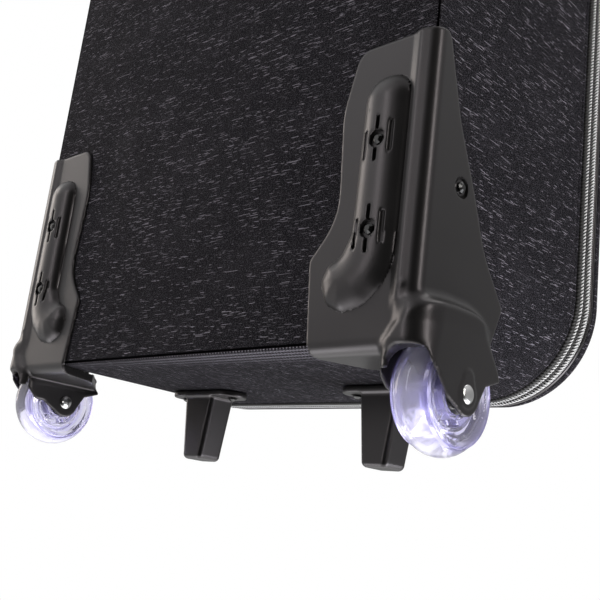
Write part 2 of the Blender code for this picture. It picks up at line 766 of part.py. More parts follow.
def fasteners():
    """The screws, and the nut plates that hold them inside the lining."""
    for name, seat, way, grip in shell_screws():
        end = grip + CLEAR + NUT_T + SCREW_END
        profile = [(0, end), (SCREW_R, end), (SCREW_R, -CLEAR), (SCREW_HEAD_R, -CLEAR)]
        profile += [(SCREW_HEAD_R, -CLEAR - SCREW_HEAD_H / 2), (SCREW_HEAD_R / 2, -CLEAR - SCREW_HEAD_H)]
        profile += [(0, -CLEAR - SCREW_HEAD_H)]
        screw = placed(turned_mesh(name, profile, SCREW_STEPS, False), [facing(seat, way)])
        add_object(name, screw, "black_steel")
    low = INSIDE + CLEAR
    high = low + NUT_T
    for side_name, side in SIDES.items():
        x = side * RIDGE_X
        ends = (BACK_SCREW_Z[0] - NUT_R, BACK_SCREW_Z[1] + NUT_R)
        nut_plate("back_nut_plate_" + side_name, (x - NUT_R, x + NUT_R), ends, (low, high), "XZ")
        y, z = SIDE_SCREW_Y, SIDE_SCREW_Z
        across = sorted((side * (CASE_W / 2 - low), side * (CASE_W / 2 - high)))
        nut_plate("side_nut_plate_" + side_name, (y - NUT_R, y + NUT_R), (z - NUT_R, z + NUT_R), across, "YZ")
        x = side * FOOT_X
        ends = (x - FOOT_SCREW_X - NUT_R, x + FOOT_SCREW_X + NUT_R)
        across = (BOTTOM_Z + low, BOTTOM_Z + high)
        nut_plate("foot_nut_plate_" + side_name, ends, (FOOT_Y - NUT_R, FOOT_Y + NUT_R), across, "XY")


def nut_plate(name, first, second, faces, plane):
    """A small round-ended plate inside the lining, tapped for the screws that it holds."""
    radius = NUT_R * 0.8
    ends = [(u, v, radius) for u, v in ((first[0], second[0]), (first[1], second[0]))]
    ends += [(u, v, radius) for u, v in ((first[1], second[1]), (first[0], second[1]))]
    plate = add_object(name, flat_mesh(name, rounded(ends, 3), *faces, plane), "black_steel")
    boolean(plate, "DIFFERENCE", screw_hole_cutter(name + "_holes", 0.001, 0.060))


def foot(side_name):
    """A tapered four-sided foot on a flange with a screw tongue at each side."""
    side = SIDES[side_name]
    name = "foot_" + side_name
    flange_top = BOTTOM_Z - CLEAR
    flange_low = flange_top - FOOT_FLANGE_T
    bm = bmesh.new()
    bmesh.ops.create_cube(bm, size=2)
    for vert in bm.verts:
        top = vert.co.z > 0
        vert.co.x *= FOOT_TOP_X if top else FOOT_BOTTOM_X
        vert.co.y *= FOOT_TOP_Y if top else FOOT_BOTTOM_Y
        vert.co.z = flange_low + FOOT_FLANGE_T / 3 if top else 0
    obj = add_object(name, mesh_from(bm, name), "moulding", (side * FOOT_X, FOOT_Y, 0))
    bevel = obj.modifiers.new("edges", "BEVEL")
    bevel.width = FOOT_BEVEL
    bevel.segments = 2
    x, y = FOOT_FLANGE_X, FOOT_FLANGE_Y
    ends = rounded([(-x, -y, y * 0.9), (x, -y, y * 0.9), (x, y, y * 0.9), (-x, y, y * 0.9)], 4)
    flange = cutter(flat_mesh("foot_flange", ends, flange_low, flange_top, "XY"))
    flange.location = obj.location
    boolean(obj, "UNION", flange)
    boolean(obj, "DIFFERENCE", screw_hole_cutter("foot_screw_holes", -0.001, 0.020))


def tyre_profile():
    """The wheel's tyre, as (radius, distance from its middle plane), outer side running down."""
    inner = CORE_R + CLEAR
    half = [
        (inner, CORE_HALF),
        (WHEEL_R * 0.70, WHEEL_HALF * 0.92),
        (WHEEL_R * 0.80, WHEEL_HALF),
        (WHEEL_R * 0.905, WHEEL_HALF * 0.88),
        (WHEEL_R * 0.97, WHEEL_HALF * 0.62),
        (WHEEL_R, WHEEL_HALF * 0.24),
    ]
    return half + [(radius, -width) for radius, width in reversed(half)]


def core_profile():
    """The core inside the tyre: rim, thin web and hub."""
    rim = CORE_R - CORE_RIM_T
    bore = BEARING_R + CLEAR
    half = [(rim, CORE_WEB_HALF), (rim, CORE_HALF), (CORE_R, CORE_HALF)]
    other = [(radius, -width) for radius, width in reversed(half)]
    hub = [(HUB_R, -CORE_WEB_HALF), (HUB_R, -HUB_HALF), (bore, -HUB_HALF)]
    return half + other + hub + [(radius, -width) for radius, width in reversed(hub)]


def wheel(side_name):
    """Tyre, core and bearings, which turn on a tubular rivet between the housing's arms."""
    side = SIDES[side_name]
    across = Matrix.Rotation(math.pi / 2, 4, "Y")
    at = (side * WHEEL_X, WHEEL_Y, WHEEL_R)
    hole = RIVET_R + CLEAR
    flip = Matrix.Rotation(math.pi, 4, "X")
    tyre = placed(turned_mesh("tyre", tyre_profile(), TYRE_STEPS, True), [across])
    add_object("wheel_tyre_" + side_name, tyre, "tyre", at)
    core = placed(turned_mesh("core", core_profile(), TYRE_STEPS, True), [across])
    add_object("wheel_core_" + side_name, core, "core", at)
    low = HUB_HALF - BEARING_W
    profile = [(hole, HUB_HALF), (BEARING_R, HUB_HALF), (BEARING_R, low), (hole, low)]
    for place, turn in (("inner", across @ flip), ("outer", across)):
        if side < 0:
            turn = turn @ flip
        bearing = placed(turned_mesh("bearing", profile, SMALL_STEPS, True), [turn])
        add_object(f"wheel_bearing_{side_name}_{place}", bearing, "steel", at)
    seat = ARM_OUT + CLEAR
    end = seat + RIVET_HEAD_H
    half = [(0, end), (RIVET_HEAD_R * 0.7, end - RIVET_HEAD_H * 0.3), (RIVET_HEAD_R, seat), (RIVET_R, seat)]
    profile = half + [(radius, -width) for radius, width in reversed(half)]
    rivet = placed(turned_mesh("rivet", profile, SMALL_STEPS, False), [across])
    add_object("axle_rivet_" + side_name, rivet, "steel", at)


def handle(name, span, at, turn, end_names):
    """A carry handle lying flat, pins along X and outwards along Z, then turned into place."""
    lift = MOUNT_PLATE_T + CLEAR + EYE_R
    ends = (-span / 2, span / 2)

    def put(part, mesh, look):
        obj = add_object(name + "_" + part, mesh, look, at)
        obj.rotation_euler = turn
        return obj

    def tool(obj, operation, mesh):
        other = cutter(mesh)
        other.location = at
        other.rotation_euler = turn
        boolean(obj, operation, other)

    x, y = MOUNT_HALF_X, MOUNT_HALF_Y
    corners = rounded([(-x, -y, 0.005), (x, -y, 0.005), (x, y, 0.005), (-x, y, 0.005)], 2)
    ear = EYE_HALF + CLEAR
    for end_name, end in zip(end_names, ends):
        outline = [(end + u, v) for u, v in corners]
        plate = flat_mesh("mount_plate", outline, -lift, MOUNT_PLATE_T - lift, "XY")
        mount = put("mount_" + end_name, plate, "moulding")
        for way in (-1, 1):
            faces = sorted((end + way * ear, end + way * (ear + EAR_T)))
            half = EYE_R - 0.0005
            outline = [(-half, 0.001 - lift), (half, 0.001 - lift)] + arc((0, 0), half, 0, 180, 6)
            tool(mount, "UNION", flat_mesh("ear", outline, *faces, "YZ"))
        pin = [(end - ear - EAR_T / 2, 0, 0), (end + ear + EAR_T / 2, 0, 0)]
        tool(mount, "UNION", rod_mesh("pin", PIN_R, *pin, SCREW_STEPS))

    path = rounded(
        [
            (ends[0], 0, 0),
            (ends[0], -HANDLE_REACH, STRAP_BEND_R),
            (ends[1], -HANDLE_REACH, STRAP_BEND_R),
            (ends[1], 0, 0),
        ],
        5,
    )
    curve = bpy.data.curves.new("strap", "CURVE")
    curve.dimensions = "3D"
    curve.bevel_depth = STRAP_R
    curve.bevel_resolution = 2
    curve.use_fill_caps = True
    spline = curve.splines.new("POLY")
    spline.points.add(len(path) - 1)
    for point, (u, v) in zip(spline.points, path):
        point.co = (u, min(v, -EYE_R / 2), 0, 1)
    drawn = bpy.data.objects.new("strap", curve)
    CUTTERS.objects.link(drawn)
    bm = evaluated_mesh(drawn)
    bpy.data.objects.remove(drawn, do_unlink=True)
    bmesh.ops.recalc_face_normals(bm, faces=bm.faces)
    strap = put("strap", mesh_from(bm, "strap"), "webbing")
    for end in ends:
        eye = [(end - EYE_HALF, 0, 0), (end + EYE_HALF, 0, 0)]
        tool(strap, "UNION", rod_mesh("eye", EYE_R, *eye, 12))
    for end in ends:
        pin = [(end - EYE_HALF - 0.001, 0, 0), (end + EYE_HALF + 0.001, 0, 0)]
        tool(strap, "DIFFERENCE", rod_mesh("eye_hole", PIN_R + CLEAR, *pin, SCREW_STEPS))

    half = span / 2 - GRIP_END
    hole = STRAP_R + CLEAR
    profile = [(hole, half), (GRIP_R - 0.0012, half), (GRIP_R, half - 0.003), (GRIP_R, -half + 0.003)]
    profile += [(GRIP_R - 0.0012, -half), (hole, -half)]
    grip = turned_mesh("grip", profile, 12, True)
    place = Matrix.Translation((0, -HANDLE_REACH, 0)) @ Matrix.Rotation(math.pi / 2, 4, "Y")
    put("grip", placed(grip, [place]), "trim")


def slider(name, at):
    """A zip slider on a face towards +X, its zip running up Z, with a crown for the pull."""
    y, z = SLIDER_HALF_Y, SLIDER_HALF_Z
    corners = rounded([(-y, -z, 0.003), (y, -z, 0.003), (y, z, 0.003), (-y, z, 0.003)], 3)
    obj = add_object(name, flat_mesh(name, corners, 0, SLIDER_T, "YZ"), "black_steel", at)
    top = SLIDER_T + CROWN_ROOM
    z = CROWN_HALF_Z
    base = SLIDER_T / 2
    inner = z - 0.003
    outline = rounded(
        [
            (base, -z, 0),
            (top + CROWN_T, -z, 0.003),
            (top + CROWN_T, z, 0.003),
            (base, z, 0),
            (base, inner, 0),
            (top, inner, 0.0015),
            (top, -inner, 0.0015),
            (base, -inner, 0),
        ],
        2,
    )
    crown = cutter(flat_mesh("crown", outline, -CROWN_HALF_Y, CROWN_HALF_Y, "XZ"))
    crown.location = at
    boolean(obj, "UNION", crown)


def pull(name, at):
    """A zip pull that hangs from the bar under the crown, its origin on that bar's axis."""
    y = PULL_HALF_Y
    low = -PULL_LENGTH
    corners = rounded(
        [(-y, low, 0.003), (y, low, 0.003), (y, PULL_BAR, 0.0015), (-y, PULL_BAR, 0.0015)], 3
    )
    half = PULL_T / 2
    pivot = (at[0] + SLIDER_T + CROWN_ROOM / 2, at[1], at[2])
    obj = add_object(name, flat_mesh(name, corners, -half, half, "YZ"), "black_steel", pivot)
    window = box_mesh(
        "window", (-0.01, -PULL_WINDOW_Y, -PULL_WINDOW_Z), (0.01, PULL_WINDOW_Y, -PULL_BAR)
    )
    hole = cutter(window)
    hole.location = pivot
    boolean(obj, "DIFFERENCE", hole)


def pocket():
    """A flat pouch on the lid with a zip let into its right side."""
    x, z = POCKET_W / 2, POCKET_H / 2

    def outline(inset):
        radius = POCKET_R - inset
        low, high = POCKET_Z - z + inset, POCKET_Z + z - inset
        half = x - inset
        corners = [(-half, low, radius), (half, low, radius), (half, high, radius), (-half, high, radius)]
        return rounded(corners, 4)

    rings = [ring(outline(0), POCKET_BACK)]
    for step in range(EDGE_STEPS + 1):
        angle = math.pi / 2 * step / EDGE_STEPS
        inset = POCKET_EDGE_R * (1 - math.cos(angle))
        rings.append(ring(outline(inset), POCKET_FRONT - POCKET_EDGE_R * (1 - math.sin(angle))))
    pouch = skin("pocket_pouch", "cover", loft(rings, True, cap_last=True), POCKET_T)
    middle = POCKET_BACK + POCKET_ZIP_Y
    half = POCKET_ZIP_W / 2
    low = (x - 0.005, middle - half, POCKET_Z - POCKET_ZIP_HALF)
    high = (x + 0.005, middle + half, POCKET_Z + POCKET_ZIP_HALF)
    boolean(pouch, "DIFFERENCE", cutter(box_mesh("zip_slot", low, high)))
    half -= CLEAR
    low = (x - POCKET_T, middle - half, POCKET_Z - POCKET_ZIP_HALF + CLEAR)
    high = (x, middle + half, POCKET_Z + POCKET_ZIP_HALF - CLEAR)
    tape = add_object("pocket_zip_tape", box_mesh("tape", low, high), "tape")
    low = (x - 0.005, middle - ZIP_GAP / 2, POCKET_Z - POCKET_SLIDER_Z)
    high = (x + 0.005, middle + ZIP_GAP / 2, POCKET_Z + POCKET_SLIDER_Z)
    boolean(tape, "DIFFERENCE", cutter(box_mesh("zip_slit", low, high)))
    at = (x + CLEAR, middle, POCKET_Z + POCKET_SLIDER_Z)
    slider("pocket_slider", at)
    pull("pocket_pull", at)


def hold_down_straps():
    """Two straps across the inside of the back, with their ends at the side walls."""
    half = CASE_W / 2 - INSIDE - CLEAR
    for name, z in zip(("lower", "upper"), STRAP_Z):
        low = (-half, STRAP_BACK, z - STRAP_W / 2)
        high = (half, STRAP_BACK + STRAP_T, z + STRAP_W / 2)
        add_object("hold_down_strap_" + name, box_mesh("strap", low, high), "webbing")


def hang_lid():
    """Hands the lid's pieces to an empty on the hinge line, so that turning it opens the lid."""
    hinge = bpy.data.objects.new("lid_hinge_line", None)
    hinge.location = (HINGE_X, ZIP_Y, BOTTOM_Z + CASE_H / 2)
    hinge.parent = BAG
    PARTS.objects.link(hinge)
    for name in LID_PIECES:
        piece = bpy.data.objects[name]
        piece.parent = hinge
        piece.location -= hinge.location


def main():
    body_shell()
    edge_cord("body_edge_welt", WELT_Y, WELT_R)
    edge_cord("lid_edge_piping", PIPING_Y, PIPING_R)
    main_zip()
    lid()
    pocket()
    hold_down_straps()
    fasteners()
    for side_name in SIDES:
        housing(side_name)
        wheel(side_name)
        foot(side_name)
    lift = CLEAR + MOUNT_PLATE_T + CLEAR + EYE_R
    middle = BOTTOM_Z + CASE_H / 2
    handle("top_handle", TOP_HANDLE_SPAN, (0, HANDLE_Y, TOP_Z + lift), (0, 0, 0), ("left", "right"))
    side_turn = (0, math.pi / 2, 0)
    at = (CASE_W / 2 + lift, HANDLE_Y, middle)
    handle("side_handle", SIDE_HANDLE_SPAN, at, side_turn, ("upper", "lower"))
    face = CASE_W / 2 - TAPE_INSET + CLEAR
    for name, z in (("upper", UPPER_SLIDER_Z), ("lower", LOWER_SLIDER_Z)):
        slider("main_slider_" + name, (face, ZIP_Y, z))
        pull("main_pull_" + name, (face, ZIP_Y, z))
    hang_lid()


main()
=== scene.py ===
"""Dressed model of a rolling keyboard gig bag, seen from low behind its right wheel.

Shapes are worked out in millimetres in the bag's own frame: x across, y from the back panel
towards the lid, z up from the ground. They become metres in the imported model's frame at the end.
"""

import math

import bmesh
import bpy
import numpy as np
from mathutils import Matrix, Vector


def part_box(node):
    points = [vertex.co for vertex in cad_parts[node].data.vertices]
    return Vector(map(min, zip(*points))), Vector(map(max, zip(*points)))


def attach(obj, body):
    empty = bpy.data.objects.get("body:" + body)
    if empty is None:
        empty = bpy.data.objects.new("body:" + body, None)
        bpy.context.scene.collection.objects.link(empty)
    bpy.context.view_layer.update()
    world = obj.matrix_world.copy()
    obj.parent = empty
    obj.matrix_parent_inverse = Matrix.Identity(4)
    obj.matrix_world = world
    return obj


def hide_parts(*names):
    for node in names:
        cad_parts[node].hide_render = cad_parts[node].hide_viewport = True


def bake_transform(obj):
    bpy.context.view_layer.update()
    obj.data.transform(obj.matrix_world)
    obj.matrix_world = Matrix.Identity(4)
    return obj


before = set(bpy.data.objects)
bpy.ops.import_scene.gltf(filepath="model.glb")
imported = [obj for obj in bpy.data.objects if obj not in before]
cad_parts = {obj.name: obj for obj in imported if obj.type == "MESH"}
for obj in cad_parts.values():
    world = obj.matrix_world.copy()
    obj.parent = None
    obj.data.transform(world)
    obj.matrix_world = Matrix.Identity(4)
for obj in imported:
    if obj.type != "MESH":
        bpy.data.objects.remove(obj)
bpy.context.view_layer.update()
BACK_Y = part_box("body_cover")[0].y
MM = 0.001

# The bag, in millimetres.
HALF_W = 204.0
BOTTOM_Z = 56.2
TOP_Z = 1456.2
CORNER_R = 69.0
BODY_D = 171.0
PLATE_Y = -2.8
WALL_X = 207.3
SHELF_Z = 49.5
GAP = 0.3
RIDGE_X = 174.3
SCREW_Z = (119.0, 173.1)
SIDE_SCREW = (29.4, 151.0)
WHEEL_X = 198.8
WHEEL_R = 34.0
AXLE = (37.3, WHEEL_R)
AXLE_PLACE = (0, -AXLE[0] * MM - BACK_Y, -AXLE[1] * MM)
FOOT_X = 95.7
FOOT_Y = 118.9
WELT_Y = 173.3
BODY_TAPE = (175.6, 181.8)
LID_TAPE = (182.2, 189.8)
PIPING_Y = 192.4
HINGE_X = (-203.0, -201.4)
LID_BACK = 195.0
LID_FRONT = 207.9
LINING_IN = 1.8
POCKET_BACK = 208.2
POCKET_FRONT = 232.2
HANDLE_Y = 95.0
SIDES = {"right": 1, "left": -1}

# The room: white all round but for its open side, where the camera stands.
OPEN_SIDE = (0.70, -0.70, -0.10)
LEFT_SIDE = (-0.70, -0.68, 0.20)


# Materials

class Wire:
    """One output in a material, with arithmetic that adds Math nodes."""

    def __init__(self, look, socket):
        self.look = look
        self.socket = socket

    def maths(self, operation, *others):
        values = dict(enumerate((self, *others)))
        return self.look.node("ShaderNodeMath", {"operation": operation}, values)

    def __add__(self, other):
        return self.maths("ADD", other)

    def __mul__(self, other):
        return self.maths("MULTIPLY", other)

    def __sub__(self, other):
        return self.maths("SUBTRACT", other)

    def __truediv__(self, other):
        return self.maths("DIVIDE", other)

    def __pow__(self, other):
        return self.maths("POWER", other)

    def __rsub__(self, other):
        return self.look.node("ShaderNodeMath", {"operation": "SUBTRACT"}, {0: other, 1: self})

    __radd__ = __add__
    __rmul__ = __mul__

    def clamped(self):
        return self.maths("MINIMUM", 1.0).maths("MAXIMUM", 0.0)

    def sine(self, period, shift=None):
        """A sine wave with a length of period, moved on by shift."""
        turn = self * (math.tau / period)
        return (turn if shift is None else turn + shift).maths("SINE")

    def ramp(self, low, high, start=0.0, end=1.0):
        """Smoothly from start, where this is low, to end, where it is high."""
        values = {"Value": self, "From Min": low, "From Max": high, "To Min": start, "To Max": end}
        return self.look.node("ShaderNodeMapRange", {"interpolation_type": "SMOOTHSTEP"}, values)


class Look:
    """A material under construction."""

    def __init__(self, name):
        self.material = bpy.data.materials.new(name)
        self.material.use_nodes = True
        self.tree = self.material.node_tree
        self.tree.nodes.clear()

    def node(self, kind, settings=None, values=None, output=0):
        """Adds a node with its settings and its inputs, and gives one of its outputs."""
        made = self.tree.nodes.new(kind)
        for key, value in (settings or {}).items():
            setattr(made, key, value)
        for key, value in (values or {}).items():
            if isinstance(value, Wire):
                self.tree.links.new(value.socket, made.inputs[key])
            else:
                made.inputs[key].default_value = value
        return Wire(self, made.outputs[output]) if made.outputs else None

    def place(self):
        """The point's place in metres."""
        return self.node("ShaderNodeTexCoord", output=3)

    def axis(self, vector, number):
        return self.node("ShaderNodeSeparateXYZ", values={0: vector}, output=number)

    def cloth_place(self):
        """Where the point lies on the cloth, in millimetres along and across it."""
        uv = self.node("ShaderNodeUVMap", {"uv_map": "UVMap"})
        return self.axis(uv, 0) / MM, self.axis(uv, 1) / MM

    def point(self, x, y=0.0, z=0.0):
        return self.node("ShaderNodeCombineXYZ", values={0: x, 1: y, 2: z})

    def noise(self, at, scale, detail=2.0, rough=0.5):
        values = {"Vector": at, "Scale": scale, "Detail": detail, "Roughness": rough}
        return self.node("ShaderNodeTexNoise", {"noise_dimensions": "3D"}, values)

    def attribute(self, name):
        return self.node("ShaderNodeAttribute", {"attribute_name": name}, output=2)

    def blend(self, factor, first, second):
        """A colour between two colours."""
        values = {0: factor, 6: first, 7: second}
        return self.node("ShaderNodeMix", {"data_type": "RGBA"}, values, 2)

    def bump(self, height, distance, strength=1.0):
        values = {"Height": height, "Distance": distance, "Strength": strength}
        return self.node("ShaderNodeBump", values=values)

    def finish(self, **values):
        """Ends the material in one Principled shader."""
        named = {key.replace("_", " "): value for key, value in values.items()}
        shader = self.node("ShaderNodeBsdfPrincipled", values=named)
        self.node("ShaderNodeOutputMaterial", values={"Surface": shader})
        return self.material


def grey(level, warmth=0.0):
    return (level * (1 + warmth), level, level * (1 - warmth), 1)


def plastic(name, level, rough, grain=0.00004):
    """Moulded satin plastic: fine grain, faint flow marks, smoother edges and a painted highlight that pales
    them.
    """
    look = Look(name)
    at = look.place()
    cloud = look.noise(at, 22.0, 4.0)
    fine = look.noise(at, 1900.0, 3.0, 0.6)
    edge = look.attribute("edge").ramp(0.06, 0.5)
    colour = look.blend(cloud.ramp(0.3, 0.7), grey(level * 0.88, 0.03), grey(level * 1.1, 0.02))
    # Painted highlight: convex edges, where the attribute edge is high, are paled as if their rounding
    # caught the light.
    colour = look.blend(edge * 0.45, colour, grey(level * 2.6, 0.02))
    roughness = rough + (cloud - 0.5) * 0.10 + (fine - 0.5) * 0.08 - edge * 0.06
    return look.finish(
        Base_Color=colour,
        Roughness=roughness,
        Specular_IOR_Level=0.5,
        Specular_Tint=(1.0, 0.93, 0.97, 1),
        Normal=look.bump(fine, grain, 0.6),
    )


def woven(name, dark, light, slubs=0.72, weave=0.46, thread=0.44, rough=0.80):
    """Charcoal cloth: a fine diagonal weave crossed by short pale slubs that run along it.

    The attribute band shows an open mesh instead, its paleness partly painted light from below, and the
    attribute gap darkens a seam's depth as painted shade.
    """
    look = Look(name)
    along, across = look.cloth_place()
    band = look.attribute("band")
    row = (across / thread).maths("FLOOR")
    core = (across / thread - row - 0.5).maths("ABSOLUTE").ramp(0.40, 0.18)
    run = look.noise(look.point(along / 7.0, row * 3.71, 0.5), 1.0, 1.5, 0.4)
    where = look.noise(look.point(along / 26.0, row * 0.43, 7.5), 1.0, 2.0)
    tone = look.noise(look.point(along / 60.0, across / 45.0, 3.0), 1.0, 3.0)
    slub = run.ramp(0.60, 0.68) * core * where.ramp(0.40, 0.64, 0.12, 1.0) * (1 - band) * slubs
    dots = (along.sine(1.05) * across.sine(0.80, along * 3.0)).ramp(0.15, 0.95)
    hair = look.noise(look.point(along / 1.3, across / 0.6, 1.0), 1.0, 2.0, 0.7)
    lean = across * (math.tau / 5.6)
    holes = (along.sine(13.0, lean) * along.sine(13.0, lean * -1.0)).ramp(0.02, 0.35)
    # The open mesh is paler than the cloth: partly the mesh itself, partly painted light from below where
    # the band is strong.
    holes = holes * band * hair.ramp(0.30, 0.62, 0.25, 1.0)
    factor = dots * weave * hair.ramp(0.46, 0.64) + holes * 0.62 + slub + (tone - 0.5) * 0.04
    # Painted shade: the seam's depth, where the attribute gap is set, goes dark.
    factor = factor * (1 - look.attribute("gap"))
    colour = look.blend(factor.clamped(), dark, light)
    height = dots * 0.5 + slub + hair * 0.5
    return look.finish(
        Base_Color=colour,
        Roughness=rough - slub * 0.12,
        Specular_IOR_Level=0.04,
        Normal=look.bump(height, 0.00022, 0.7),
    )


def ribbon(name, level, pitch=1.1, rough=0.7):
    """Tape and webbing: ribs along it, crossed by a finer weave."""
    look = Look(name)
    along, across = look.cloth_place()
    ribs = across.sine(pitch)
    picks = along.sine(pitch * 0.75, ribs * 1.2)
    cloud = look.noise(look.point(along / 15.0, across / 5.0), 1.0, 3.0)
    factor = ribs.ramp(-1.0, 1.0) * picks.ramp(-1.0, 1.0) * 0.8 + (cloud - 0.5) * 0.3
    colour = look.blend(factor, grey(level * 0.6), grey(level * 1.9))
    return look.finish(
        Base_Color=colour,
        Roughness=rough,
        Normal=look.bump(factor, 0.0002, 0.8),
    )


def cord_look(name, hollow, crest, rough=0.6):
    """Twisted cord with fine plies: the strands' crests in the cord's colour, the hollows between them
    darkened as painted shade.
    """
    look = Look(name)
    lobe = look.attribute("lobe")
    at = look.place()
    fuzz = look.noise(at, 1400.0, 2.0, 0.7)
    # Painted shade: the colour falls to hollow where lobe is low, between the strands.
    factor = (lobe.ramp(0.45, 0.75) * (0.65 + fuzz * 0.6)).maths("MINIMUM", 1.0)
    return look.finish(
        Base_Color=look.blend(factor, hollow, crest),
        Roughness=rough,
        Normal=look.bump(fuzz, 0.0001, 0.5),
    )


def metal(name, level, rough, warmth=0.0):
    """Plated steel with faint turning marks and cloudy wear."""
    look = Look(name)
    at = look.place()
    cloud = look.noise(at, 160.0, 3.0)
    scratches = look.noise(at, 2600.0, 2.0, 0.8)
    colour = look.blend(cloud, grey(level * 0.82, warmth), grey(level * 1.08, warmth))
    return look.finish(
        Base_Color=colour,
        Metallic=1.0,
        Roughness=rough + (cloud - 0.5) * 0.12 + (scratches - 0.5) * 0.08,
        Normal=look.bump(scratches, 0.00001, 0.5),
    )


def clear(name, middle, rim, rough):
    """Clear tinted urethane, milky in the middle of its tread, with faint haze and moulding flow."""
    look = Look(name)
    at = look.place()
    flow = look.noise(at, 55.0, 3.0)
    place = look.node("ShaderNodeMapping", {"vector_type": "POINT"}, {0: at, 1: AXLE_PLACE})
    flat = look.node("ShaderNodeVectorMath", {"operation": "MULTIPLY"}, {0: place, 1: (0, 1, 1)})
    radius = look.node("ShaderNodeVectorMath", {"operation": "LENGTH"}, {0: flat}, 1) / MM
    off_middle = (look.axis(at, 0).maths("ABSOLUTE") / MM - WHEEL_X).maths("ABSOLUTE")
    outer = off_middle.ramp(6.5, 12.0) * radius.ramp(24.5, 31.0, 0.25, 1.0)
    outer = outer + radius.ramp(24.0, 21.5) * 0.5 + (flow - 0.5) * 0.4
    return look.finish(
        Base_Color=look.blend(outer.clamped(), middle, rim),
        Roughness=rough + flow * 0.04,
        IOR=1.42,
        Transmission_Weight=0.86,
        Normal=look.bump(flow, 0.0007, 0.5),
    )


def foam_look(name):
    """Grey foam board with open cells."""
    look = Look(name)
    cells = look.node("ShaderNodeTexVoronoi", values={"Vector": look.place(), "Scale": 900.0})
    return look.finish(
        Base_Color=look.blend(cells, grey(0.05), grey(0.12)),
        Roughness=0.9,
        Normal=look.bump(cells, 0.0003, 0.8),
    )


LOOKS = {
    "cover": woven("cover_cloth", (0.0062, 0.0057, 0.0072, 1), (0.47, 0.44, 0.51, 1)),
    "lid_cloth": woven("lid_cloth", (0.0062, 0.0057, 0.0072, 1), (0.47, 0.44, 0.51, 1)),
    "lining": woven("lining_cloth", grey(0.03), grey(0.08), slubs=0.05, weave=0.9, rough=0.85),
    "binding": ribbon("edge_binding", 0.013, 1.4),
    "tape": ribbon("zip_tape_cloth", 0.016, 1.0),
    "webbing": ribbon("webbing_cloth", 0.022, 2.0),
    # Each cord's first colour is the painted shade in the hollows between its strands.
    "white_cord": cord_look("white_twisted_cord", grey(0.006), grey(0.86)),
    "dark_cord": cord_look("dark_twisted_cord", grey(0.004), grey(0.03, 0.04)),
    "piping": plastic("piping_vinyl", 0.006, 0.30, 0.00002),
    "coil": plastic("zip_coil_nylon", 0.035, 0.38, 0.00002),
    "moulding": plastic("moulded_plastic", 0.006, 0.32),
    "grip": plastic("grip_rubber", 0.028, 0.55, 0.00012),
    "tyre": clear("clear_tyre", (0.94, 0.93, 1.0, 1), (0.47, 0.43, 0.90, 1), 0.06),
    "core": clear("clear_core", (0.90, 0.89, 1.0, 1), (0.72, 0.69, 0.95, 1), 0.08),
    "steel": metal("bright_steel", 0.72, 0.22),
    "screw_steel": metal("screw_steel", 0.07, 0.24),
    "black_steel": metal("blackened_steel", 0.10, 0.34),
    "thread": plastic("stitch_thread", 0.05, 0.6, 0.00005),
    "foam": foam_look("grey_foam"),
}


# Shapes

def to_frame(points):
    """Millimetres in the bag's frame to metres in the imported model's."""
    return np.asarray(points, float) * MM + np.array((0, BACK_Y, 0))


def mesh_of(name, points, faces, uvs=None):
    """A mesh with outward faces from points in millimetres, and corner UVs in millimetres."""
    mesh = bpy.data.meshes.new(name)
    mesh.from_pydata(to_frame(points).tolist(), [], [tuple(face) for face in faces])
    if uvs is not None:
        layer = mesh.uv_layers.new(name="UVMap")
        corners = np.zeros(len(mesh.loops), int)
        mesh.loops.foreach_get("vertex_index", corners)
        flat = np.concatenate([uvs(face) for face in faces]) if callable(uvs) else uvs[corners]
        layer.data.foreach_set("uv", (flat * MM).astype(np.float32).ravel())
    return turned_out(mesh)


def turned_out(mesh, join=False):
    """The mesh with its faces outwards and, on request, the points that coincide joined."""
    bm = bmesh.new()
    bm.from_mesh(mesh)
    if join:
        bmesh.ops.remove_doubles(bm, verts=bm.verts, dist=1e-6)
    bmesh.ops.recalc_face_normals(bm, faces=bm.faces)
    bm.to_mesh(mesh)
    bm.free()
    return mesh


def mark_edges(mesh, reach):
    """Stores how far each point stands out from its neighbours as the attribute edge."""
    count = len(mesh.vertices)
    points = np.zeros(count * 3)
    normals = np.zeros(count * 3)
    ends = np.zeros(len(mesh.edges) * 2, int)
    mesh.vertices.foreach_get("co", points)
    mesh.vertices.foreach_get("normal", normals)
    mesh.edges.foreach_get("vertices", ends)
    points = points.reshape(-1, 3) / MM
    first, second = ends.reshape(-1, 2).T
    total = np.zeros((count, 3))
    number = np.zeros(count)
    for here, there in ((first, second), (second, first)):
        np.add.at(total, here, points[there])
        np.add.at(number, here, 1)
    out = ((points - total / np.maximum(number, 1)[:, None]) * normals.reshape(-1, 3)).sum(1)
    attribute = mesh.attributes.new("edge", "FLOAT", "POINT")
    attribute.data.foreach_set("value", (out / reach).astype(np.float32))


def piece(name, mesh, look, body, slot, replaces=(), sharp=40):
    """Puts a finished mesh in the scene on its body, with its material; slot is not used."""
    obj = bpy.data.objects.new(name, mesh)
    bpy.context.scene.collection.objects.link(obj)
    mesh.materials.append(LOOKS[look])
    mesh.shade_smooth()
    mesh.set_sharp_from_angle(angle=math.radians(sharp))
    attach(obj, body)
    if replaces:
        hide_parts(*replaces)
    return obj


def solid(name, points, faces, look, body, slot, replaces=(), sharp=40, uvs=None, reach=None):
    """A piece from its points and faces, with its edges marked where a reach is given."""
    mesh = mesh_of(name, points, faces, uvs)
    if reach:
        mark_edges(mesh, reach)
    return piece(name, mesh, look, body, slot, replaces, sharp)


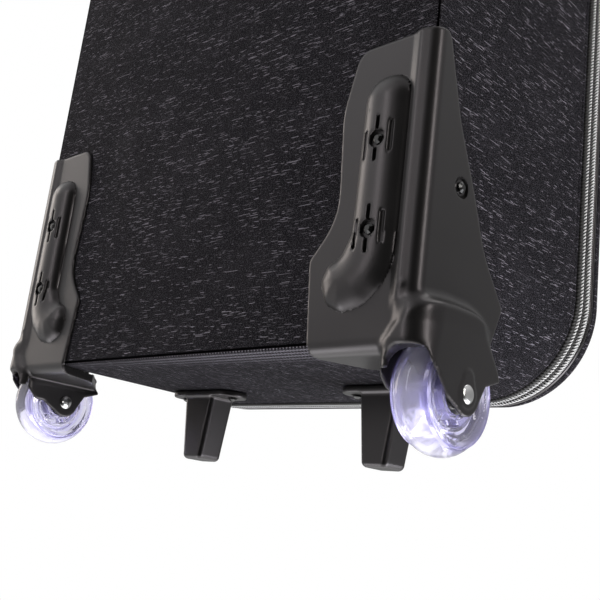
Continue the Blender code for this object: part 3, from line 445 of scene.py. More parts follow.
def rounded(corners, steps=8):
    """An outline through corners (u, v, radius), each rounded by an arc."""
    made = []
    for index, corner in enumerate(corners):
        here = Vector(corner[:2])
        radius = corner[2] if len(corner) > 2 else 0
        if not radius:
            made.append(tuple(here))
            continue
        before = (Vector(corners[index - 1][:2]) - here).normalized()
        after = (Vector(corners[(index + 1) % len(corners)][:2]) - here).normalized()
        half = before.angle(after) / 2
        centre = here + (before + after).normalized() * radius / math.sin(half)
        spoke = here + before * radius / math.tan(half) - centre
        turn = (math.pi - 2 * half) * (1 if before.cross(after) < 0 else -1)
        for step in range(steps + 1):
            made.append(tuple(centre + Matrix.Rotation(turn * step / steps, 2) @ spoke))
    return made


def wave(points, scale, seed, count=14):
    """A smooth unevenness from -1 to 1, as a sum of sine waves about scale long."""
    dice = np.random.default_rng(seed)
    ways = dice.normal(size=(count, points.shape[1]))
    ways *= math.tau / scale * dice.uniform(0.6, 1.6, (count, 1)) / np.linalg.norm(ways, axis=1)[:, None]
    return np.sin(points @ ways.T + dice.uniform(0, math.tau, count)).sum(1) / math.sqrt(count) / 1.5


def loft(rings, closed_ring=True, closed_way=False):
    """Points and quads between rings of equally many points."""
    rows, count = len(rings), len(rings[0])
    points = np.concatenate(rings)
    faces = []
    for row in range(rows if closed_way else rows - 1):
        after = (row + 1) % rows
        for index in range(count if closed_ring else count - 1):
            other = (index + 1) % count
            here = (row * count + index, row * count + other)
            faces.append((*here, after * count + other, after * count + index))
    return points, faces


def bar(rings, cyclic=False):
    """A closed bar whose rings run along it, all round or from end to end."""
    points, faces = loft(rings, cyclic, True)
    if not cyclic:
        last = len(rings[0]) - 1
        faces += [tuple(end + row * (last + 1) for row in range(len(rings))) for end in (0, last)]
    return points, faces


def at_depth(flat, y):
    """Points (x, z) as points (x, y, z) at one depth."""
    return np.column_stack((flat[:, 0], np.full(len(flat), y), flat[:, 1]))


def uprights(section, heights):
    """A line straight up through heights at each place (x, y) of a section."""
    count = len(heights)
    return [np.column_stack((np.full(count, x), np.full(count, y), heights)) for x, y in section]


def outward(ring):
    """The way out of a ring of points (x, z) at each of them."""
    tangent = np.roll(ring, -1, 0) - np.roll(ring, 1, 0)
    tangent /= np.linalg.norm(tangent, axis=1)[:, None]
    return np.column_stack((tangent[:, 1], -tangent[:, 0]))


def case_ring(inset, count):
    """The case's outline drawn in by inset, as points (x, z) equally spaced on the outline."""
    half, radius = HALF_W, CORNER_R
    straight_x, straight_z = 2 * (half - radius), TOP_Z - BOTTOM_Z - 2 * radius
    quarter = math.pi / 2 * radius
    total = 2 * (straight_x + straight_z) + 4 * quarter
    low, high = BOTTOM_Z + radius, TOP_Z - radius
    parts = (
        (straight_z / 2, "line", (-half, low + straight_z / 2), (0, -1)),
        (quarter, "arc", (-half + radius, low), math.pi),
        (straight_x, "line", (-half + radius, BOTTOM_Z), (1, 0)),
        (quarter, "arc", (half - radius, low), 1.5 * math.pi),
        (straight_z, "line", (half, low), (0, 1)),
        (quarter, "arc", (half - radius, high), 0.0),
        (straight_x, "line", (half - radius, TOP_Z), (-1, 0)),
        (quarter, "arc", (-half + radius, high), 0.5 * math.pi),
        (straight_z / 2, "line", (-half, high), (0, -1)),
    )
    along = np.arange(count) * total / count
    points = np.zeros((count, 2))
    start = 0.0
    for length, kind, at, way in parts:
        here = (along >= start - 1e-9) & (along < start + length - 1e-9)
        gone = along[here] - start
        if kind == "line":
            way = np.array(way, float)
            out = np.array((way[1], -way[0]))
            points[here] = np.array(at) + gone[:, None] * way - out * inset
        else:
            angle = way + gone / radius
            spoke = np.stack((np.cos(angle), np.sin(angle)), 1)
            points[here] = np.array(at) + spoke * (radius - inset)
        start += length
    return points, along


def smooth_max(a, b, radius):
    """The overlap of two fields with its edge rounded."""
    across = np.hypot(np.maximum(a + radius, 0), np.maximum(b + radius, 0))
    return np.minimum(-radius, np.maximum(a, b)) + across


def smooth_min(a, b, radius):
    """Two fields joined with a fillet between them."""
    across = np.hypot(np.maximum(radius - a, 0), np.maximum(radius - b, 0))
    return np.maximum(radius, np.minimum(a, b)) - across


def outline_field(corners, u, v):
    """Distance to an outline, less than nothing inside it."""
    nearest = np.full(np.broadcast(u, v).shape, 1e9)
    inside = np.zeros(nearest.shape, bool)
    for (au, av), (bu, bv) in zip(corners, corners[1:] + corners[:1]):
        eu, ev = bu - au, bv - av
        wu, wv = u - au, v - av
        share = np.clip((wu * eu + wv * ev) / max(eu * eu + ev * ev, 1e-12), 0, 1)
        nearest = np.minimum(nearest, (wu - eu * share) ** 2 + (wv - ev * share) ** 2)
        if ev:
            inside ^= ((av > v) != (bv > v)) & (wu < eu * wv / ev)
    return np.where(inside, -1, 1) * np.sqrt(nearest)


def net(field, low, high, cell):
    """Quads round the inside of a field, with one point in each cell that its surface crosses."""
    axes = [np.arange(a, b + cell, cell) for a, b in zip(low, high)]
    inside = field(*np.meshgrid(*axes, indexing="ij", sparse=True)) < 0
    size = np.array(inside.shape) - 1
    total = np.zeros(size, np.int8)
    for i in (0, 1):
        for j in (0, 1):
            for k in (0, 1):
                total += inside[i:i + size[0], j:j + size[1], k:k + size[2]]
    cut = (total > 0) & (total < 8)
    number = np.full(cut.shape, -1)
    number[cut] = np.arange(cut.sum())
    middle = (np.argwhere(cut) + 0.5) * cell + np.array(low)
    points = middle.copy()
    step = cell * 0.2
    for _ in range(3):
        value = field(*points.T)
        slope = np.zeros(points.shape)
        for axis in range(3):
            way = np.eye(3)[axis] * step
            slope[:, axis] = (field(*(points + way).T) - field(*(points - way).T)) / (2 * step)
        points -= slope * (value / np.maximum((slope ** 2).sum(1), 0.1))[:, None]
        points = np.clip(points, middle - cell * 0.6, middle + cell * 0.6)
    faces = []
    for axis in range(3):
        turned = np.moveaxis(inside, (axis, (axis + 1) % 3, (axis + 2) % 3), (0, 1, 2))
        cells = np.moveaxis(number, (axis, (axis + 1) % 3, (axis + 2) % 3), (0, 1, 2))
        first, second = turned[:-1, 1:-1, 1:-1], turned[1:, 1:-1, 1:-1]
        i, j, k = np.nonzero(first != second)
        out = first[i, j, k]
        corners = (cells[i, j, k], cells[i, j + 1, k], cells[i, j + 1, k + 1], cells[i, j, k + 1])
        quad = np.stack(corners, 1)
        quad[~out] = quad[~out][:, ::-1]
        faces.append(quad)
    return points, np.concatenate(faces).tolist()


# Wheel housings

# Outlines: the back plate and its rib in x and z, the side wall and the hood in y and z, the shelf
# in x and y, and the hood's section over the wheel and the wheel's mouth in x and z.
PLATE = rounded((
    (131, 49.5, 4), (215, 49.5), (215, 239), (148, 239, 12), (138.8, 200, 60), (144.4, 132, 40),
    (124.6, 108, 7),
))
WALL = rounded((
    (-30, 239), (8, 239, 6), (23.9, 190.5, 60), (42.6, 152, 60), (56.7, 119.5, 60), (79, 92, 6),
    (66, 60, 10), (66, 30), (-30, 30),
))
SHELF = [(131, -30), (131, 0), (147, 37), (180, 62), (204, 70), (204, 120), (240, 120), (240, -30)]
HOOD = rounded((
    (-20, 49.5), (-20, 75), (2, 78.5, 16), (22, 84.5, 18), (41, 85, 12), (52, 78.5, 14), (60, 67, 20),
    (66, 54, 20), (68.2, 46.2, 1.5), (55.4, 41.4, 3),
))
for tip in np.radians(range(345, 224, -10)):
    HOOD.append((AXLE[0] + 12 * math.cos(tip), AXLE[1] + 12 * math.sin(tip)))
HOOD += [(20.5, 29.6), (10.5, 40.4), (0, 50.5), (-20, 50.5)]
BELL = rounded((
    (181.7, 10), (181.7, 48, 10), (191, 57, 12), (199.5, 67, 10), (208, 73.5, 16), (224, 87), (224, 10),
))
MOUTH = rounded(((190.2, 20), (214, 20), (214, 53.2, 5), (190.2, 53.2, 9)))
RIB = rounded((
    (157.8, 119, 10), (158.3, 215, 15), (190.6, 215, 15), (190.6, 118, 30), (189.4, 100, 24),
    (182.3, 86.5, 24), (170, 76.5, 18), (155, 73.5, 12), (142, 80, 10), (137.6, 92.5, 8), (142, 103, 9),
    (152, 107.5, 9),
))
CASE_SQUARE = rounded((
    (-HALF_W - GAP, BOTTOM_Z - GAP, CORNER_R + GAP), (HALF_W + GAP, BOTTOM_Z - GAP, CORNER_R + GAP),
    (HALF_W + GAP, 400), (-HALF_W - GAP, 400),
), 16)
HOOD_BACK = -5.0
HOOD_HALF = 17.1
WELL_HALF = 14.6
WELL_R = 38.0
BOSS_R = 6.2
BORE_R = 4.0
HOLE_R = 2.3
RIB_H = 8.0
SCREW_DEPTH = 3.0
SLOTS = ((0.0, -13.0, -6.8), (0.0, 6.8, 13.0), (-9.0, -10.2, 5.6), (9.0, -8.0, 8.8))

# A ridge runs down the plate beside the rib: its height across the plate.
RIDGE_AT = np.arange(180, 225, 0.5)
RIDGE = np.interp(RIDGE_AT, (188.5, 195.2, 212.0, 225), (0, 2.6, -1.8, -1.8))
RIDGE = np.convolve(np.pad(RIDGE, 4, "edge"), np.array((1, 3, 6, 9, 10, 9, 6, 3, 1)) / 48, "valid")


def smooth_step(share):
    share = np.clip(share, 0, 1)
    return share * share * (3 - 2 * share)


def relief(x, z):
    """How far the back plate's features stand out from it."""
    inside = -outline_field(RIB, x, z)
    half = np.interp(z, (84, 112), (21, 16))
    share = np.clip(inside / half, 0, 1)
    lift = RIB_H * (1 - (1 - share) ** 2) ** 0.62
    lift = lift + smooth_step((z - 66) / 16) * np.interp(x, RIDGE_AT, RIDGE)
    return lift + 0.7 * np.exp(-(((x - 198) ** 2 + (z - 86) ** 2) / 4.0))


def capsule(u, v, low, high, radius):
    """Distance to a slot that runs from low to high along v."""
    return np.hypot(u, v - np.clip(v, low, high)) - radius


def housing_field(x, y, z):
    """The right housing: plate, side wall, shelf, rib, hood, arms and axle bosses."""
    step = 0.15
    lift = relief(x, z)
    steep = np.hypot(relief(x + step, z) - lift, relief(x, z + step) - lift) / step
    back = (PLATE_Y - lift - y) / np.sqrt(1 + np.minimum(steep, 3) ** 2)
    outer = smooth_max(back, x - WALL_X, 6.0)
    outer = smooth_max(outer, SHELF_Z - z, 9.0)
    body = smooth_max(outer, outline_field(PLATE, x, z), 1.1)
    body = smooth_max(body, outline_field(WALL, y, z), 1.1)
    hollow = np.maximum(np.maximum(x - HALF_W - GAP, -GAP - y), BOTTOM_Z - GAP - z)
    body = np.maximum(body, -hollow)
    body = np.maximum(body, np.minimum(outline_field(SHELF, x, y), BOTTOM_Z - z))

    inner = np.abs(x - WHEEL_X)
    hood = smooth_max(HOOD_BACK - y, inner - HOOD_HALF, np.interp(z, (48, 66), (13.5, 17.0)))
    lip = 9.0 * (1 - smooth_step((x - 189) / 9)) * (1 - smooth_step((y - 8) / 12))
    hood = smooth_max(hood, outline_field(HOOD, y, z + lip), np.interp(z, (47, 64), (1.0, 7.0)))
    hood = smooth_max(hood, outline_field(BELL, x, z), np.interp(z, (44, 60), (1.0, 4.0)))
    body = smooth_min(body, hood, np.interp(z, (46, 56, 66, 76), (1.5, 8.0, 8.0, 14.0)))
    round_axle = np.hypot(y - AXLE[0], z - AXLE[1])
    well = np.maximum(round_axle - WELL_R, inner - WELL_HALF)
    mouth = np.maximum(outline_field(MOUTH, x, z), y - 20)
    body = smooth_max(body, -np.minimum(well, mouth), 0.9)
    case = np.maximum(outline_field(CASE_SQUARE, x, z), -GAP - y)
    body = np.maximum(body, -case)
    boss = np.maximum(round_axle - BOSS_R, np.abs(inner - 13.2) - 2.5)
    body = np.minimum(body, boss)
    tear = smooth_min(round_axle - 7.9, np.hypot(y - AXLE[0], z - 43.0) - 4.6, 4.0)
    tear = smooth_max(tear, np.abs(x - WHEEL_X - 14.4) - 3.25, 0.4)
    body = np.minimum(body, tear)
    body = np.maximum(body, BORE_R - round_axle + 0 * x)

    for screw in SCREW_Z:
        u, v = x - RIDGE_X, z - screw
        floor = y - (PLATE_Y - RIB_H + SCREW_DEPTH)
        sink = np.hypot(u, v) - 5.5
        for middle, low, high in SLOTS:
            sink = np.minimum(sink, capsule(u - middle, v, low, high, 1.35))
        body = smooth_max(body, -np.maximum(sink, floor), 0.5)
        body = np.maximum(body, HOLE_R - np.hypot(u, v) + 0 * y)
    u, v = y - SIDE_SCREW[0], z - SIDE_SCREW[1]
    across = np.hypot(u, v)
    sink = np.maximum(across - 6.2, WALL_X - 1.2 - x)
    sink = np.minimum(sink, np.maximum(np.abs(across - 5.5) - 0.7, WALL_X - 2.3 - x))
    body = smooth_max(body, -sink, 0.35)
    return np.maximum(body, np.minimum(HOLE_R - across, x - 190 + 0 * y))


def housings():
    """Both wheel housings, the left one a mirror image of the right one."""
    points, faces = net(housing_field, (120, -15, 18), (219, 84, 243), 1.1)
    for name, side in SIDES.items():
        node = "wheel_housing_" + name
        placed = points * (side, 1, 1)
        solid("moulded_" + node, placed, faces, "moulding", "bag_body", "moulding", [node], 60, reach=1.1)


# Feet and wheels

def foot_field(x, y, z):
    """A tapered foot on a flange with a screw tongue at each side, its middle at x = y = 0."""
    share = z / 51.2
    wide = 10.6 + 7.0 * share
    deep = 11.7 + 0.4 * share
    edge = 3.8
    gaps = ((np.abs(x) - wide) * 0.99 + edge, np.abs(y) - deep + edge, -z + edge)
    most = np.maximum(np.maximum(gaps[0], gaps[1]), gaps[2])
    block = np.sqrt(sum(np.maximum(gap, 0) ** 2 for gap in gaps)) + np.minimum(most, 0) - edge
    block = np.maximum(block, z - 53)
    ends = np.hypot(np.maximum(np.abs(x) - 25.5, 0), y) - 13.5
    flange = smooth_max(ends, np.abs(z - 53.55) - 2.35, 1.2)
    body = smooth_min(block, flange, 2.5)
    across = np.hypot(np.abs(x) - 29.0, y)
    body = smooth_max(body, -np.maximum(across - 4.3, z - 52.6), 0.5)
    body = np.maximum(body, HOLE_R - across + 0 * z)
    return np.maximum(body, z - (BOTTOM_Z - GAP))


def feet():
    points, faces = net(foot_field, (-41, -16, -2), (41, 16, 58), 0.9)
    for name, side in SIDES.items():
        node = "foot_" + name
        placed = points * (side, 1, 1) + (side * FOOT_X, FOOT_Y, 0)
        solid("moulded_" + node, placed, faces, "moulding", "bag_body", "moulding", [node], 60, reach=0.9)


def turned(profile, steps, at):
    """A closed ring turned from (radius, x) round an axle along x at the given place."""
    profile = np.array(profile)
    rings = []
    for step in range(steps):
        angle = math.tau * step / steps
        ring = np.stack((profile[:, 1], profile[:, 0] * math.cos(angle), profile[:, 0] * math.sin(angle)), 1)
        rings.append(ring + np.array(at))
    return loft(rings, True, True)


def wheels():
    """Clear tyres with ringed sides, clear spoked cores and their rivets."""
    half = [(20.3, 7.8), (20.9, 8.2), (22.6, 9.4), (23.4, 10.2), (24.4, 10.3), (25.0, 11.2), (26.0, 11.9)]
    half += [(27.6, 12.4), (28.4, 12.1), (28.9, 12.1), (29.4, 12.2)]
    for step in range(9):
        angle = math.radians(8 + 82 * step / 8)
        half.append((22.0 + 12.0 * math.sin(angle) ** 0.9, 12.2 * math.cos(angle) ** 0.9))
    half = half[:11] + [(r, w) for r, w in half[11:] if r > 29.8]
    half[-1] = (WHEEL_R, 1.2)
    profile = half + [(radius, -width) for radius, width in reversed(half)]
    half = [(0.01, 19.1), (2.0, 19.0), (3.8, 18.6), (4.9, 18.0), (5.4, 17.5), (5.4, 17.3), (3.7, 17.3)]
    rivet = half + [(radius, -width) for radius, width in reversed(half)]

    def core_field(x, y, z):
        around = np.hypot(y, z)
        angle = np.arctan2(z, y)
        across = np.abs(x)
        rim = np.maximum(np.abs(around - 18.9) - 1.1, across - 8.2)
        web = np.maximum(np.maximum(around - 18.5, 12.5 - around), across - 1.6)
        hub = np.maximum(np.maximum(around - 13.4, 11.3 - around), across - 10.3)
        sixth = math.tau / 6
        spoke = (angle / sixth - np.round(angle / sixth)) * sixth * around
        spokes = np.maximum(np.abs(spoke) - 1.0, across - 6.2)
        spokes = np.maximum(spokes, np.maximum(around - 18.5, 12.5 - around))
        return smooth_min(smooth_min(rim, smooth_min(web, hub, 0.6), 0.6), spokes, 0.5)

    core_points, core_faces = net(core_field, (-11.5, -21.5, -21.5), (11.5, 21.5, 21.5), 0.7)
    for name, side in SIDES.items():
        at = (side * WHEEL_X, *AXLE)
        body = "wheel_" + name
        tyre, core, axle = (f"{start}_{name}" for start in ("wheel_tyre", "wheel_core", "axle_rivet"))
        solid("clear_tyre_" + name, *turned(profile, 128, at), "tyre", body, "tyre_clear", [tyre], 30)
        core_at = core_points + at
        solid("clear_core_" + name, core_at, core_faces, "core", body, "core_clear", [core], 50)
        solid("domed_rivet_" + name, *turned(rivet, 48, at), "steel", "bag_body", "steel", [axle], 50)


# Cloth shells

RING = 880


CASE_OUTLINE = rounded((
    (-HALF_W, BOTTOM_Z, CORNER_R), (HALF_W, BOTTOM_Z, CORNER_R),
    (HALF_W, TOP_Z, CORNER_R), (-HALF_W, TOP_Z, CORNER_R),
), 10)


def tray(
    name, profile, far, look, body, slot, node,
    crown=None, panel_rows=42, inner_rows=16, turned_over=2,
):
    """A closed shell: out along profile (inset, y) from its rim, over the panel, and back inside.

    far gives the inside as (inset, y) from the panel to the rim. The panel's cloth reaches over the
    profile's last turned_over places.
    """
    outline, along = case_ring(0, RING)
    way = case_ring(1, RING)[0] - outline
    length = along[1] * RING
    rings, crossings = [], []
    travelled = 0.0
    for index, (inset, y) in enumerate(profile):
        if index:
            before = profile[index - 1]
            travelled += math.hypot(inset - before[0], y - before[1])
        rings.append(at_depth(outline + way * inset, y))
        crossings.append(np.column_stack((np.full(RING, travelled), along)))

    def panel(inset, y, rows, outer):
        flat = outline + way * inset
        centre = (TOP_Z + BOTTOM_Z) / 2
        half_x, half_z = HALF_W - inset, (TOP_Z - BOTTOM_Z) / 2 - inset
        made = []
        for row in range(1, rows + 1):
            share = 1 - row / rows
            narrow = 1 - (1 - share) * half_x / half_z
            high = centre + (flat[:, 1] - centre) * narrow
            made.append(np.column_stack((flat[:, 0] * share, np.full(RING, y), high)))
        return made if outer else made[::-1]

    rings += panel(*profile[-1], panel_rows, True)
    rings += panel(*far[0], inner_rows, False)
    rings += [at_depth(outline + way * inset, y) for inset, y in far]
    points, faces = loft(rings, True, True)
    walls = len(profile)
    middle = walls + panel_rows - 1
    del faces[middle * RING:(middle + 1) * RING]
    if crown:
        first, last = (walls - 1) * RING, (walls + panel_rows) * RING
        points[first:last, 1] += crown(points[first:last])
    wall_uv = np.concatenate(crossings)

    def corner_uv(face):
        rows = [index // RING for index in face]
        if min(rows) >= walls - turned_over or max(rows) >= walls:
            return points[list(face)][:, [0, 2]]
        uv = wall_uv[list(face)]
        if abs(face[0] % RING - face[1] % RING) != 1:
            uv[uv[:, 1] == 0, 1] = length
        return uv

    mesh = turned_out(mesh_of(name, points, faces, corner_uv), join=True)
    return piece(name, mesh, look, body, slot, [node], 70)


def panel_edge(points, reach):
    """How far inside the case's edge each point is, from 0 at the edge to 1 at reach."""
    inside = -outline_field(CASE_OUTLINE, points[:, 0], points[:, 2])
    return smooth_step(inside / reach)


def back_crown(points):
    """The back panel swells a little between its edges, but not under the housings."""
    x, z = np.abs(points[:, 0]), points[:, 2]
    free = smooth_step(np.maximum((118 - x) / 40, (z - 250) / 50))
    swell = 2.2 * panel_edge(points, 110) * free
    ripple = wave(points[:, [0, 2]], 90, 3) * 0.35 * free * panel_edge(points, 30)
    return -(swell + ripple + 0.25 * free * wave(points[:, [0, 2]], 24, 4) * panel_edge(points, 20))


def lid_crown(points):
    """The lid's front is taut, with faint ripples outside its pocket."""
    x, z = np.abs(points[:, 0]), np.abs(points[:, 2] - 756)
    beside = np.clip(np.maximum(x - 154, z - 214) / 20, 0, 1)
    swell = 1.6 * panel_edge(points, 45) + 0.3 * wave(points[:, [0, 2]], 60, 8)
    return swell * beside - 0.2


def mark_seam(mesh):
    """Marks the open mesh under the back's bottom seam, with painted light that makes it paler and wider to
    the right, and the seam's depth for painted shade.
    """
    points = np.zeros(len(mesh.vertices) * 3)
    mesh.vertices.foreach_get("co", points)
    x, y, z = ((points.reshape(-1, 3) - (0, BACK_Y, 0)) / MM).T
    low = (z < BOTTOM_Z + 1.0) & (y > 0.3)
    # Painted light from below: the band widens and pales to the right, towards the housing.
    reach = np.interp(x, (-160, 120), (14, 44))
    mesh_and_painted_light = 0.2 + 0.8 * smooth_step((x + 140) / 240)
    inside = -outline_field(CASE_OUTLINE, x, z)
    marks = {
        "band": low * smooth_step((reach - y) / (0.7 * reach)) * mesh_and_painted_light,
        # The seam's depth, which the cloth darkens as painted shade.
        "gap": (inside < 3.0) & (inside > 1.2) & (y > 1.0) & (y < 5.2),
    }
    for name, values in marks.items():
        attribute = mesh.attributes.new(name, "FLOAT", "POINT")
        attribute.data.foreach_set("value", values.astype(np.float32))


def shells():
    """Cover, foam and lining of the body and the lid."""
    wall = [(0.25, BODY_D), (0.0, 169.5), (0.0, 168.0), (0.35, 167.4), (0.35, 166.6), (0.0, 166.0)]
    wall += [(0.0, y) for y in np.linspace(162.0, 6.0, 39)]
    seam = [(0.0, 3.0), (0.05, 1.6), (0.3, 0.9), (0.8, 0.7), (1.15, 1.1), (1.3, 1.8), (1.4, 4.6)]
    seam += [(2.7, 4.6), (2.8, 1.6), (3.0, 0.7), (3.6, 0.15), (4.6, 0.0), (8.0, 0.0)]
    far = [(8.0, 2.0), (5.0, 2.2), (3.8, 5.6), (2.0, 8.0), (2.0, 60.0), (2.0, 120.0), (2.0, 170.6)]
    far.append((1.0, BODY_D))
    slot, node = "cover_fabric", "body_cover"
    cover = tray(
        "body_cloth_cover", wall + seam, far, "cover", "bag_body", slot, node, back_crown, turned_over=4
    )
    mark_seam(cover.data)
    depths = [170.7, 140.0, 90.0, 40.0]
    edge = [(2.3, y) for y in (*depths, 8.0)] + [(3.4, 4.0), (6.0, 2.5), (12.0, 2.3)]
    far = [(20.0, 16.3), (16.6, 17.5), (16.3, 22.0), (16.3, 90.0), (16.3, 170.7)]
    slot, node = "foam_board", "body_foam"
    foam = tray("body_foam_board", edge, far, "foam", "bag_body", slot, node, None, 6, 6)
    edge = [(16.6, y) for y in (*depths, 20.0)] + [(17.2, 17.2), (20.0, 16.6)]
    far = [(22.0, 18.1), (18.8, 19.0), (18.1, 22.0), (18.1, 90.0), (18.1, 170.7)]
    slot, node = "lining_fabric", "body_lining"
    lining = tray("body_lining_cloth", edge, far, "lining", "bag_body", slot, node, None, 6, 20)

    front = LID_FRONT
    edge = [(0.3, LID_BACK), (0.0, LID_BACK + 0.5), (0.0, front - 10.0)]
    for angle in math.pi / 2 * np.arange(1, 7) / 6:
        edge.append((10 * (1 - math.cos(angle)), front - 10 * (1 - math.sin(angle))))
    edge.append((14.0, front))
    far = [(14.0, front - 2), (9.0, front - 2.2), (4.5, front - 5), (2.0, front - 10), (2.0, LID_BACK)]
    cover = tray("lid_cloth_cover", edge, far, "lid_cloth", "lid", "cover_fabric", "lid_cover", lid_crown)
    edge = [(2.3, LID_BACK), (2.3, front - 9), (5.0, front - 4.6), (11.0, front - 2.6)]
    far = [(12.0, LID_BACK), (4.0, LID_BACK)]
    foam = tray("lid_foam_board", edge, far, "foam", "lid", "foam_board", "lid_foam", None, 6, 6)
    low = LID_BACK - LINING_IN
    edge = [(4.2, low + 1.5), (4.2, low + 0.6), (4.8, low), (8.0, low)]
    far = [(8.0, low + 1.5)]
    slot, node = "lining_fabric", "lid_lining"
    lining = tray("lid_lining_cloth", edge, far, "lining", "lid", slot, node, None, 20, 3)


# Edges and zips

def curve_along(name, points, cyclic):
    """A helper curve through points in millimetres."""
    curve = bpy.data.curves.new(name, "CURVE")
    curve.dimensions = "3D"
    spline = curve.splines.new("POLY")
    spline.points.add(len(points) - 1)
    flat = np.column_stack((to_frame(points), np.ones(len(points))))
    spline.points.foreach_set("co", flat.ravel())
    spline.use_cyclic_u = cyclic
    obj = bpy.data.objects.new(name, curve)
    bpy.context.scene.collection.objects.link(obj)
    return obj


class Graph:
    """A geometry node group under construction, made the same way as a material."""

    def __init__(self, name, inputs):
        self.tree = bpy.data.node_groups.new(name, "GeometryNodeTree")
        face = self.tree.interface
        face.new_socket("Geometry", in_out="INPUT", socket_type="NodeSocketGeometry")
        face.new_socket("Geometry", in_out="OUTPUT", socket_type="NodeSocketGeometry")
        self.names = {}
        for label, kind in inputs.items():
            made = face.new_socket(label, in_out="INPUT", socket_type=kind)
            self.names[label] = made.identifier
        self.inputs = self.tree.nodes.new("NodeGroupInput")

    def given(self, label):
        return Wire(self, self.inputs.outputs[label])

    def finish(self, geometry):
        out = self.tree.nodes.new("NodeGroupOutput")
        real = self.node("GeometryNodeRealizeInstances", values={0: geometry})
        made = self.node("GeometryNodeSetMaterial", values={0: real, 2: self.given("Material")})
        self.tree.links.new(made.socket, out.inputs[0])
        return self

    node = Look.node

    def resampled(self, label):
        """The given curve, with its points as far apart as the input named by label says."""
        values = {0: self.given("Geometry"), 3: self.given(label)}
        return self.node("GeometryNodeResampleCurve", {"mode": "LENGTH"}, values)

    def run_along(self, points, cyclic, name, values, look):
        """The group's result along points in millimetres, as a new mesh without a material."""
        obj = curve_along(name + "_guide", points, cyclic)
        modifier = obj.modifiers.new(name, "NODES")
        modifier.node_group = self.tree
        for label, value in {**values, "Material": LOOKS[look]}.items():
            modifier[self.names[label]] = value
        graph = bpy.context.evaluated_depsgraph_get()
        mesh = bpy.data.meshes.new_from_object(obj.evaluated_get(graph), depsgraph=graph)
        obj.modifiers.remove(modifier)
        bpy.data.objects.remove(obj)
        mesh.name = name
        mesh.materials.clear()
        return mesh


def cord_graph():
    """A twisted cord of two strands along a curve."""
    kinds = dict.fromkeys(("Radius", "Pitch", "Step"), "NodeSocketFloat")
    graph = Graph("twisted_cord", {**kinds, "Sides": "NodeSocketInt", "Material": "NodeSocketMaterial"})
    path = graph.resampled("Step")
    gone = graph.node("GeometryNodeSplineParameter", output=1)
    tilt = gone / graph.given("Pitch") * math.tau
    path = graph.node("GeometryNodeSetCurveTilt", values={0: path, 2: tilt})
    values = {0: graph.given("Sides"), 4: graph.given("Radius")}
    circle = graph.node("GeometryNodeCurvePrimitiveCircle", values=values)
    share = graph.node("GeometryNodeSplineParameter")
    lobe = (share * math.tau).maths("COSINE").maths("ABSOLUTE")
    at = graph.node("GeometryNodeInputPosition")
    squeezed = graph.node("ShaderNodeVectorMath", {"operation": "SCALE"}, {0: at, 3: lobe * 0.42 + 0.58})
    circle = graph.node("GeometryNodeSetPosition", values={0: circle, 2: squeezed})
    values = {0: circle, 2: "lobe", 3: lobe}
    circle = graph.node("GeometryNodeStoreNamedAttribute", {"data_type": "FLOAT"}, values)
    return graph.finish(graph.node("GeometryNodeCurveToMesh", values={0: path, 1: circle}))


def row_points(inset, y, margin=None):
    """The way round the case at a depth: all of it, or all but the hinge's straight side."""
    points = at_depth(case_ring(inset, RING)[0], y)
    if margin is None:
        return points, True
    low, high = BOTTOM_Z + CORNER_R - margin, TOP_Z - CORNER_R + margin
    keep = (points[:, 0] > -HALF_W + inset + 0.01) | (points[:, 2] < low) | (points[:, 2] > high)
    first = np.argmax(keep)
    last = len(keep) - np.argmax(keep[::-1])
    return points[first:last], False


def cords():
    """The twisted rows beside the zip and the dark cord on the body's edge."""
    graph = cord_graph()
    rows = (
        ("body_edge_twisted_welt", WELT_Y, 0.2, 1.9, 5.0, "dark_cord", "bag_body", ["body_edge_welt"], None),
        ("body_side_white_row", 178.0, 0.1, 1.4, 4.8, "white_cord", "bag_body", [], -2),
        ("lid_side_white_row", 185.9, 0.1, 1.4, 4.8, "white_cord", "lid", [], -2),
        ("lid_side_pale_row", 189.0, 0.4, 0.7, 2.6, "white_cord", "lid", [], -2),
        ("body_side_dark_row", 176.2, 0.35, 0.75, 2.6, "dark_cord", "bag_body", [], -2),
    )
    for name, y, inset, radius, pitch, look, body, nodes, margin in rows:
        values = {"Radius": radius * MM, "Pitch": pitch * MM, "Step": pitch * MM / 7, "Sides": 8}
        mesh = graph.run_along(*row_points(inset, y, margin), name, values, look)
        piece(name, mesh, look, body, "trim_cord", nodes, 80)


def strip(name, low, high, body):
    """A zip's tape standing on edge round the case, closed at its ends."""
    points, cyclic = row_points(0, 0, -0.2)
    ring, along = case_ring(0, RING)
    way = case_ring(1, RING)[0] - ring
    index = [int(np.argmin(((ring - p[[0, 2]]) ** 2).sum(1))) for p in points]
    flat, way, along = ring[index], way[index], along[index]
    depths = np.linspace(low, high, 3)
    section = [(1.0, y) for y in depths] + [(2.6, y) for y in depths[::-1]]
    rings = [at_depth(flat + way * inset, y) for inset, y in section]
    uv = np.concatenate([np.column_stack((along, np.full(len(index), y))) for _, y in section])
    node = name.removesuffix("_cloth")
    solid(name, *bar(rings, cyclic), "tape", body, "zip_tape", [node], 50, uv)


